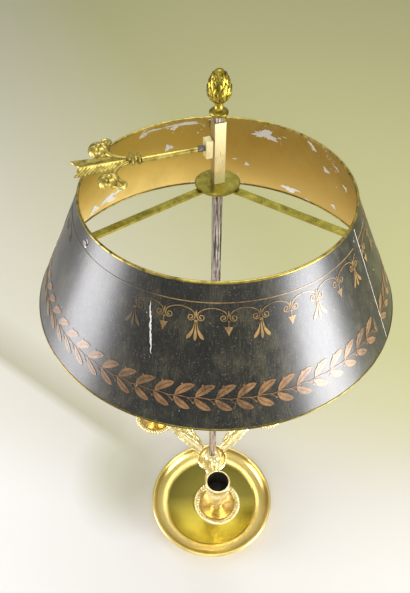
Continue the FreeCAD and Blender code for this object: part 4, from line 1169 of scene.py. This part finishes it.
foot_section = [(0, 0), (5.4, 0), (6.9, 0.9), (7.4, 2.0), (7.4, 3.2), (6.6, 4.2), (5.2, 4.7), (3.9, 5.6),
                (3.3, 6.8), (3.2, 9.0), (3.7, 11.2), (0, 11.2)]
calyx_section = [(0, 8.0), (3.8, 8.0), (6.0, 8.8), (7.8, 10.2), (8.9, 12.4), (9.4, 14.8), (9.5, 16.4),
                 (8.8, 17.0), (7.2, 15.8), (0, 15.8)]
core_section = [(0, 13.0), (7.8, 13.0), (7.9, 16.0), (7.1, 20.5), (6.3, 24.5), (5.2, 28.2), (3.6, 30.8),
                (1.8, 32.0), (0, 32.3)]
finial_part("finial_foot", foot_section, FINIAL_FOOT, 64, 50.0)
finial_part("finial_calyx", calyx_section, CALYX_FOOT, 168, wave=calyx_wave)
finial_part("finial_core", core_section, CALYX_FOOT, 48)

# %% [markdown]
# **Scales.** One scale is a small grid that bulges out and comes to a point. The pine-cone tree copies
# it, so a change to this one changes them all.

# %% The finial's scales
SCALES_IN_ROW = 10
SCALE_ROWS = 5
# A scale's stations from its foot to its tip: the way up, the width and how far it bulges out.
scale_stations = [(0.0, 3.2, 0.1), (0.2, 4.9, 0.5), (0.42, 5.4, 0.9), (0.62, 4.5, 1.2), (0.8, 2.8, 1.35),
                  (0.93, 1.2, 1.3), (1.0, 0.3, 1.1)]
scale_grid = [[(out - 0.7 * abs(u) ** 1.4 * width / 5.2 + 0.2 * (abs(u) < 0.2), u * width / 2,
                way * 8.8 - 1.4) for u in (-1, -0.6, -0.15, 0.15, 0.6, 1)]
              for way, width, out in scale_stations]
scale_motif = motif_object("cone_scale", shell(scale_grid, 0.5))
grow("finial_scales", cone_tree, "stand", "finial_gilt", 35.0, ("finial",), motif=scale_motif,
     count=SCALES_IN_ROW * SCALE_ROWS, per_row=SCALES_IN_ROW, centre=(0, 0, (CALYX_FOOT + 14.0) * MM),
     radius=8.4 * MM, height=17.0 * MM, finish=finial_gilt)
bpy.data.objects.remove(scale_motif)

# %% [markdown]
# ## Rods
# A rod is a row of rings along a path, each with its own width and height. The lobes of the pans, the
# arms and the arrow's stalks are rods. A curve with a bevel would do for a round wire, but not for a
# section that goes from tall to wide. A second helper moves a form to its place on the lamp.

# %% Rods and moved forms


def rod(path, wide, tall, sides=14, up=(0, 1, 0)):
    """Points and faces of a rod along a path; up is the direction that its width lies in."""
    path = np.asarray(path, float)
    count = len(path)
    wide = np.broadcast_to(np.asarray(wide, float), count)
    tall = np.broadcast_to(np.asarray(tall, float), count)
    ahead = np.gradient(path, axis=0)
    ahead /= np.maximum(np.linalg.norm(ahead, axis=1, keepdims=True), 1e-9)
    side = np.array(up, float) - ahead * (ahead @ np.array(up, float))[:, None]
    side /= np.maximum(np.linalg.norm(side, axis=1, keepdims=True), 1e-9)
    above = np.cross(side, ahead)
    angles = np.linspace(0, 2 * math.pi, sides, endpoint=False)
    rings = [path[i] + np.outer(np.cos(angles) * wide[i] / 2, side[i])
             + np.outer(np.sin(angles) * tall[i] / 2, above[i]) for i in range(count)]
    points = np.vstack(rings + [path[:1], path[-1:]])
    faces = []
    for i in range(count - 1):
        for j in range(sides):
            k = (j + 1) % sides
            faces.append((i * sides + j, i * sides + k, (i + 1) * sides + k, (i + 1) * sides + j))
    first, last = count * sides, count * sides + 1
    for j in range(sides):
        k = (j + 1) % sides
        faces += [(first, k, j), (last, (count - 1) * sides + j, (count - 1) * sides + k)]
    return points, faces


def moved(form, matrix):
    points = np.asarray(form[0], float)
    matrix = np.array(matrix)
    return points @ matrix[:3, :3].T + matrix[:3, 3], form[1]

# %% [markdown]
# ## Drip pans and candle sockets
# Each pan was turned and its border beaten over a former into slanted lobes, which catch the light one by
# one. The socket is a tapered cup with a thin rim. Its bore is darkened to near black, so the lining is
# its own piece.

# %% Pans and sockets
PAN_SEAT = node_box("drip_pan_front")[0].z / MM
NOZZLE_FOOT = node_box("candle_nozzle_front")[0].z / MM
GADROONS = 46
bore_black, tree, surface = new_material("bore_black")
bore_mottle = noise(tree, object_place(tree), 3.0, 4.0, 0.6)
tree.links.new(ramp(tree, bore_mottle, (0.3, (0.012, 0.010, 0.008)), (0.75, (0.055, 0.045, 0.030))),
               surface.inputs["Base Color"])
surface.inputs["Roughness"].default_value = 0.75

pan_section = [(2.6, 0), (12, 0), (18.5, 0.9), (22.5, 1.6), (25.0, 1.7), (26.2, 2.6), (26.5, 4.2),
               (25.6, 5.4), (23.6, 5.2), (21.6, 4.2), (20.6, 3.0), (18.2, 2.2), (12, 2.0), (2.6, 2.0)]
well_section = [(6.0, 2.05), (12.0, 2.05), (18.2, 2.3), (20.4, 3.1), (20.2, 3.4), (18.0, 2.6), (12.0, 2.3),
                (6.0, 2.3)]
nozzle_section = [(2.6, 0), (6.2, 0), (6.3, 0.9), (5.2, 2.0), (5.3, 3.2), (6.6, 5.4), (8.6, 9.6),
                  (10.2, 14.6), (11.6, 21.0), (12.6, 27.5), (13.0, 33.0), (13.2, 42.0), (13.3, 51.4),
                  (14.0, 52.4), (14.1, 53.3), (13.8, 54.1), (13.2, 54.5), (12.3, 54.3), (12.2, 53.6),
                  (12.2, 31.5), (2.6, 31.5)]
lining_section = [(11.95, 53.2), (12.15, 53.2), (12.15, 31.7), (0.5, 31.7), (0.5, 31.9), (11.95, 31.9)]
lobe_path = [(20.8, -1.6, 3.4), (22.4, -0.9, 4.9), (24.2, -0.1, 5.5), (25.6, 0.6, 5.0), (26.2, 1.2, 3.6),
             (26.0, 1.6, 2.2)]
lobe_motif = motif_object("gadroon", rod(lobe_path, [0.8, 1.9, 2.3, 2.5, 2.3, 1.6],
                                         [0.8, 2.2, 2.8, 2.9, 2.5, 1.2], 8))


def turned(name, section, level, steps, middle, finish, stands_for=()):
    """A turned piece on the axis through middle."""
    there = Matrix.Translation((middle.x / MM, middle.y / MM, 0))
    form = moved(lathe(raised(section, level), steps), there)
    finish_piece(name, *form, finish, "stand", "nozzle_gilt", 50.0, stands_for)


for side in SIDES:
    middle = nozzle_axes[side]
    turned(f"pan_{side}", pan_section, PAN_SEAT, 96, middle, nozzle_gilt, (f"drip_pan_{side}",))
    turned(f"pan_well_{side}", well_section, PAN_SEAT, 64, middle, well_shaded_gilt)
    grow(f"pan_gadroons_{side}", ring_tree, "stand", "nozzle_gilt", 60.0, (f"drip_pan_{side}",),
         motif=lobe_motif, count=GADROONS, centre=(middle.x, middle.y, PAN_SEAT * MM), finish=nozzle_gilt)
    turned(f"nozzle_{side}", nozzle_section, NOZZLE_FOOT, 72, middle, nozzle_gilt,
           (f"candle_nozzle_{side}",))
    turned(f"nozzle_soot_{side}", lining_section, NOZZLE_FOOT, 48, middle, bore_black)
bpy.data.objects.remove(lobe_motif)

# %% [markdown]
# ## Spirals and balls
# A scroll ends in a flat spiral whose radius shrinks evenly, with a round eye in its middle. The eyes and
# the middles of the arrow's flowers are small balls, made here with no more faces than their size needs.

# %% Spirals and balls


def spiral(centre, start_radius, end_radius, start_angle, turns, samples=40):
    """A flat spiral in the XZ plane: centre is (x, z), and angles are in degrees from +X towards +Z."""
    t = np.linspace(0, 1, samples)
    radius = start_radius + (end_radius - start_radius) * t
    angle = math.radians(start_angle) + 2 * math.pi * turns * t
    return np.stack([centre[0] + radius * np.cos(angle), np.zeros(samples),
                     centre[1] + radius * np.sin(angle)], axis=1)


def ball(radius, centre=(0, 0, 0), stretch=(1, 1, 1), rows=7, columns=12):
    """A closed ball with few faces."""
    points = [(0, 0, radius)]
    for i in range(1, rows):
        polar = math.pi * i / rows
        points += [(radius * math.sin(polar) * math.cos(2 * math.pi * j / columns),
                    radius * math.sin(polar) * math.sin(2 * math.pi * j / columns),
                    radius * math.cos(polar)) for j in range(columns)]
    points.append((0, 0, -radius))
    faces = []
    last = len(points) - 1
    for j in range(columns):
        k = (j + 1) % columns
        faces += [(0, 1 + j, 1 + k), (last, last - columns + k, last - columns + j)]
        for i in range(rows - 2):
            a = 1 + i * columns
            faces.append((a + j, a + columns + j, a + columns + k, a + k))
    return np.array(points) * np.array(stretch) + np.array(centre), faces

# %% [markdown]
# ## The arms
# Each arm is an S-scroll, cast in two halves and chased. It leaves the rim of the cup, sweeps out under
# the pan, and carries a leaf on its back that curls over into a volute by the stem.

# %% The arms
# The arm's heights below are drawn for a pan whose seat is at this height.
DRAWN_SEAT = 167.5
ARM_LEVEL = PAN_SEAT - DRAWN_SEAT
VOLUTE_EYE = (33.0, 175.0 + ARM_LEVEL)
ARM_STEPS = 40


def arm_points(*stations):
    """Points in the arm's plane from (distance from the stem, height)."""
    return [(r, 0.0, z + ARM_LEVEL) for r, z in stations]


arm_share = np.linspace(0, 1, ARM_STEPS)
arm_line = arm_points((16.5, 141), (25, 147.5), (36, 153.5), (48, 158.5), (62, 161.5), (75, 163.0),
                      (ARM_REACH / MM, 165.2))
arm_width = np.interp(arm_share, [0, 0.2, 0.5, 0.8, 1], [8.5, 9.5, 8.0, 6.5, 9.0])
arm_height = np.interp(arm_share, [0, 0.15, 0.35, 0.6, 0.85, 1], [12.0, 14.5, 15.0, 9.0, 6.5, 4.6])
arm_body = rod(through(arm_line, ARM_STEPS), arm_width, arm_height, 20)
volute_path = np.vstack([through(arm_points((50, 164.5), (44, 167.5), (39.5, 172.0)), 10)[:-1],
                         spiral(VOLUTE_EYE, 7.0, 2.2, -5, 1.35, 44)])
volute_share = np.linspace(0, 1, len(volute_path))
volute = rod(volute_path, np.interp(volute_share, [0, 0.2, 0.7, 1], [3.0, 7.0, 6.0, 4.0]),
             np.interp(volute_share, [0, 0.2, 0.7, 1], [2.0, 3.2, 2.6, 1.8]), 12)
eye = ball(2.3, (VOLUTE_EYE[0], 0, VOLUTE_EYE[1]), (1, 1.45, 1), 9, 16)
print(f"an arm reaches {ARM_REACH / MM:.1f} mm and its volute stands at {VOLUTE_EYE[1]:.1f} mm")

# %% [markdown]
# **Acanthus leaves.** Each arm has a leaf on its back and one on its belly, chased by hand: a centre
# line, an edge cut in lobes, and ribs. They could be sculpted, but one function gives both leaves the
# same hand.

# %% Acanthus leaves and the whole arms


def acanthus(spine, half_widths, lobes, cup, thickness=0.9, rows=56, columns=13):
    """A leaf whose edge is cut in lobes; spine is its centre line in the XZ plane."""
    line = through(spine, rows)
    ahead = np.gradient(line, axis=0)
    ahead /= np.linalg.norm(ahead, axis=1, keepdims=True)
    above = np.cross(ahead, (0, 1, 0)) * -1
    grid = []
    for i, way in enumerate(np.linspace(0, 1, rows)):
        reach_out = np.interp(way, np.linspace(0, 1, len(half_widths)), half_widths)
        beat = abs(math.sin(math.pi * lobes * way)) ** 0.6
        row = []
        for u in np.linspace(-1, 1, columns):
            span_here = reach_out * (1 - 0.36 * (1 - beat) * abs(u) ** 1.5)
            rib = 0.55 * math.cos(u * math.pi * 2.5) * (1 - way * 0.4)
            row.append(line[i] + np.array([0, u * span_here, 0]) - above[i] * (cup * u * u - rib)
                       - ahead[i] * 1.8 * abs(u) * (1 - beat))
        grid.append(row)
    return shell(grid, thickness)


back_leaf = acanthus(arm_points((20, 152), (28, 160.5), (38, 165.0), (50, 167.0), (62, 167.0), (70, 168.2)),
                     [2.6, 5.6, 6.2, 5.6, 4.0, 0.9], 5, 2.8)
belly_leaf = acanthus(arm_points((17, 134.5), (27, 140.5), (38, 147.0), (50, 152.3), (60, 156.2)),
                      [3.4, 5.2, 5.4, 4.0, 0.8], 4, -2.4)
arm_form = joined(arm_body, volute, eye, back_leaf, belly_leaf)
for side in SIDES:
    points, faces = moved(arm_form, Matrix.Rotation(ARM_ANGLE[side], 4, "Z"))
    finish_piece(f"scroll_arm_{side}", points, faces, arm_gilt, "stand", "arm_gilt", 50.0, (f"arm_{side}",))
print("arms:", len(SIDES), "of", len(arm_form[1]), "faces")

# %% [markdown]
# ## The arrow key
# The screw's key is an arrow with scrolled stalks, two flowers and a feathered tail. Feather barbs are
# slanted ridges on both sides of a rib, ending in a swallow tail.

# %% The arrow
SCREW_LEVEL = screw_middle.z / MM
to_screw = Matrix.Rotation(SCREW_ANGLE, 4, "Z")
to_screw.translation = (0, 0, SCREW_LEVEL)


def arrow_piece(name, form, stands_for=(), crease=45.0):
    """A piece of the arrow, drawn with the screw's axis as X and its middle at the stem."""
    finish_piece(name, *moved(form, to_screw), arrow_gilt, "arrow_key", "arrow_gilt", crease, stands_for)


def lathe_along_x(section, steps):
    """A turned form on the X axis; section is (place along X, radius)."""
    points, faces = lathe([(radius, along) for along, radius in section], steps)
    return points[:, [2, 0, 1]], faces


FEATHER_FOOT = 73.0
BARB_STEP = 2.8
feather_grid = []
for way in np.linspace(0, 1, 61):
    half = np.interp(way, [0, 0.12, 0.35, 0.7, 1.0], [1.6, 5.0, 8.4, 10.4, 11.0])
    row = []
    for u in np.linspace(-1, 1, 17):
        along = FEATHER_FOOT + 36.0 * way + 5.6 * abs(u) ** 0.8 * way - 1.2 * (1 - way) * abs(u)
        barb = math.sin((along - 2.4 * abs(u) * half * 0.35) * 2 * math.pi / BARB_STEP)
        lift = 0.28 * barb * (abs(u) > 0.13) + (0.75 if abs(u) < 0.13 else 0) - 0.3 * abs(u)
        row.append((along, u * half, lift))
    feather_grid.append(row)
arrow_piece("feather", shell(feather_grid, 0.9), ("arrow_feather",), 60.0)
knot = [(62.0, 0), (62.0, 3.0), (62.8, 4.4), (63.8, 4.9), (64.8, 4.4), (65.4, 3.2), (66.6, 3.0), (67.4, 3.6),
        (68.2, 5.3), (69.4, 5.8), (70.6, 5.2), (71.4, 3.5), (73.0, 2.6), (73.0, 0)]
arrow_piece("arrow_knot", lathe_along_x(knot, 36), ("arrow_collar",))
print("feather and knot are on an arrow at", round(SCREW_LEVEL), "mm")

# %% [markdown]
# **Stalks and flowers.** Two stalks leave the knot, scroll outwards and curl at the end. A twig on each
# carries a flower with six petals, which the ring tree copies from one, a button in the middle and a
# heart below it.

# %% Stalks and flowers of the arrow
PETALS = 6
STALK_STEPS = 44
# A petal's stations from the middle of the flower outwards: the way out, half the width and the height.
petal_stations = [(0.12, 0.7, 1.0), (0.3, 1.9, 1.5), (0.52, 2.9, 1.7), (0.74, 3.5, 0.9), (0.9, 2.9, -0.7),
                  (0.98, 2.0, -2.2), (0.96, 1.0, -3.2)]
petal_grid = [[(8.3 * way, u * half, level - 0.9 * u * u + 0.5 * (0.3 < abs(u) < 0.8))
               for u in (-1, -0.66, -0.33, 0, 0.33, 0.66, 1)] for way, half, level in petal_stations]
stalk_share = np.linspace(0, 1, STALK_STEPS)
for side, sign in (("left", 1), ("right", -1)):
    stalk = through([(72.0, 2.6 * sign, 0), (80.0, 7.0 * sign, 0.3), (85.5, 15.0 * sign, 0.6),
                     (84.0, 24.0 * sign, 0.3), (80.5, 30.0 * sign, 0), (82.5, 34.0 * sign, 0),
                     (86.0, 33.0 * sign, 0), (85.0, 30.5 * sign, 0)], STALK_STEPS)
    stalk_form = rod(stalk, np.interp(stalk_share, [0, 0.5, 1], [3.0, 2.8, 2.0]),
                     np.interp(stalk_share, [0, 0.3, 0.75, 1], [2.6, 4.4, 3.0, 2.2]), 12, (0, 0, 1))
    twig = rod(through([(85.0, 15.5 * sign, 0.5), (89.0, 19.0 * sign, 0.8), (91.5, 21.5 * sign, 1.0)], 10),
               2.4, 2.4, 8, (0, 0, 1))
    arrow_piece(f"arrow_stalk_{side}", joined(stalk_form, twig), (f"arrow_scroll_{side}",))
    flower_at = to_screw @ Vector((90.6, 22.0 * sign, 1.4))
    petal_motif = motif_object("petal", shell(petal_grid, 0.9))
    grow(f"arrow_flower_{side}", ring_tree, "arrow_key", "arrow_gilt", 50.0, (f"arrow_scroll_{side}",),
         motif=petal_motif, count=PETALS, centre=tuple(flower_at * MM), finish=arrow_gilt)
    bpy.data.objects.remove(petal_motif)
    button = ball(2.7, tuple(flower_at + Vector((0, 0, 1.6))), (1, 1, 0.8), 8, 14)
    heart = ball(4.2, tuple(flower_at - Vector((0, 0, 1.0))), (1, 1, 0.42), 8, 16)
    finish_piece(f"arrow_button_{side}", *joined(button, heart), arrow_gilt, "arrow_key", "arrow_gilt")

# %% [markdown]
# **The thread.** The solid's screw is plain, because a thread would add faces and no size. Just outside
# its block it shows a few turns. Ridges turned on one axis look the same as a thread at this size.

# %% The screw's thread
THREAD_START = 11.9
THREAD_PITCH = 1.1
THREAD_TURNS = 5
THREAD_CORE = 1.9
THREAD_CREST = 2.55
thread_section = [(THREAD_START, 0.0)]
for turn_number in range(THREAD_TURNS):
    place = THREAD_START + turn_number * THREAD_PITCH
    thread_section += [(place, THREAD_CORE), (place + 0.3, THREAD_CREST), (place + 0.7, THREAD_CREST),
                       (place + 1.0, THREAD_CORE)]
thread_section += [(THREAD_START + THREAD_TURNS * THREAD_PITCH, THREAD_CORE),
                   (THREAD_START + THREAD_TURNS * THREAD_PITCH, 0.0)]
thread = moved(lathe_along_x(thread_section, 32), to_screw)
finish_piece("screw_thread", *thread, fixing_steel, "screw", "fixing_steel", 30.0)

# %% [markdown]
# ## Finishes on the solids that stay
# A solid whose shape is already right only needs a better surface: its material slots are pointed at the
# new finish. The pieces with more detail were made above and stand for their solids.

# %% Dress the solids
FINISH_OF = {
    "dish_brass": dish_brass, "column_gilt": column_gilt, "arm_gilt": arm_gilt,
    "nozzle_gilt": nozzle_gilt, "stem_steel": stem_steel, "fixing_steel": fixing_steel,
    "finial_gilt": finial_gilt, "sleeve_brass": sleeve_brass, "frame_brass": frame_brass,
    "wire_brass": wire_brass, "arrow_gilt": arrow_gilt,
}
for part in frame["record"]["subparts"]:
    finish = FINISH_OF.get(part["material_slot"])
    for slot in frame["nodes"][part["node"]].material_slots:
        if finish:
            slot.material = finish
for slot in frame["nodes"]["spoke_rivets"].material_slots:
    slot.material = fixing_steel
print("finishes for the solids:", len(FINISH_OF))
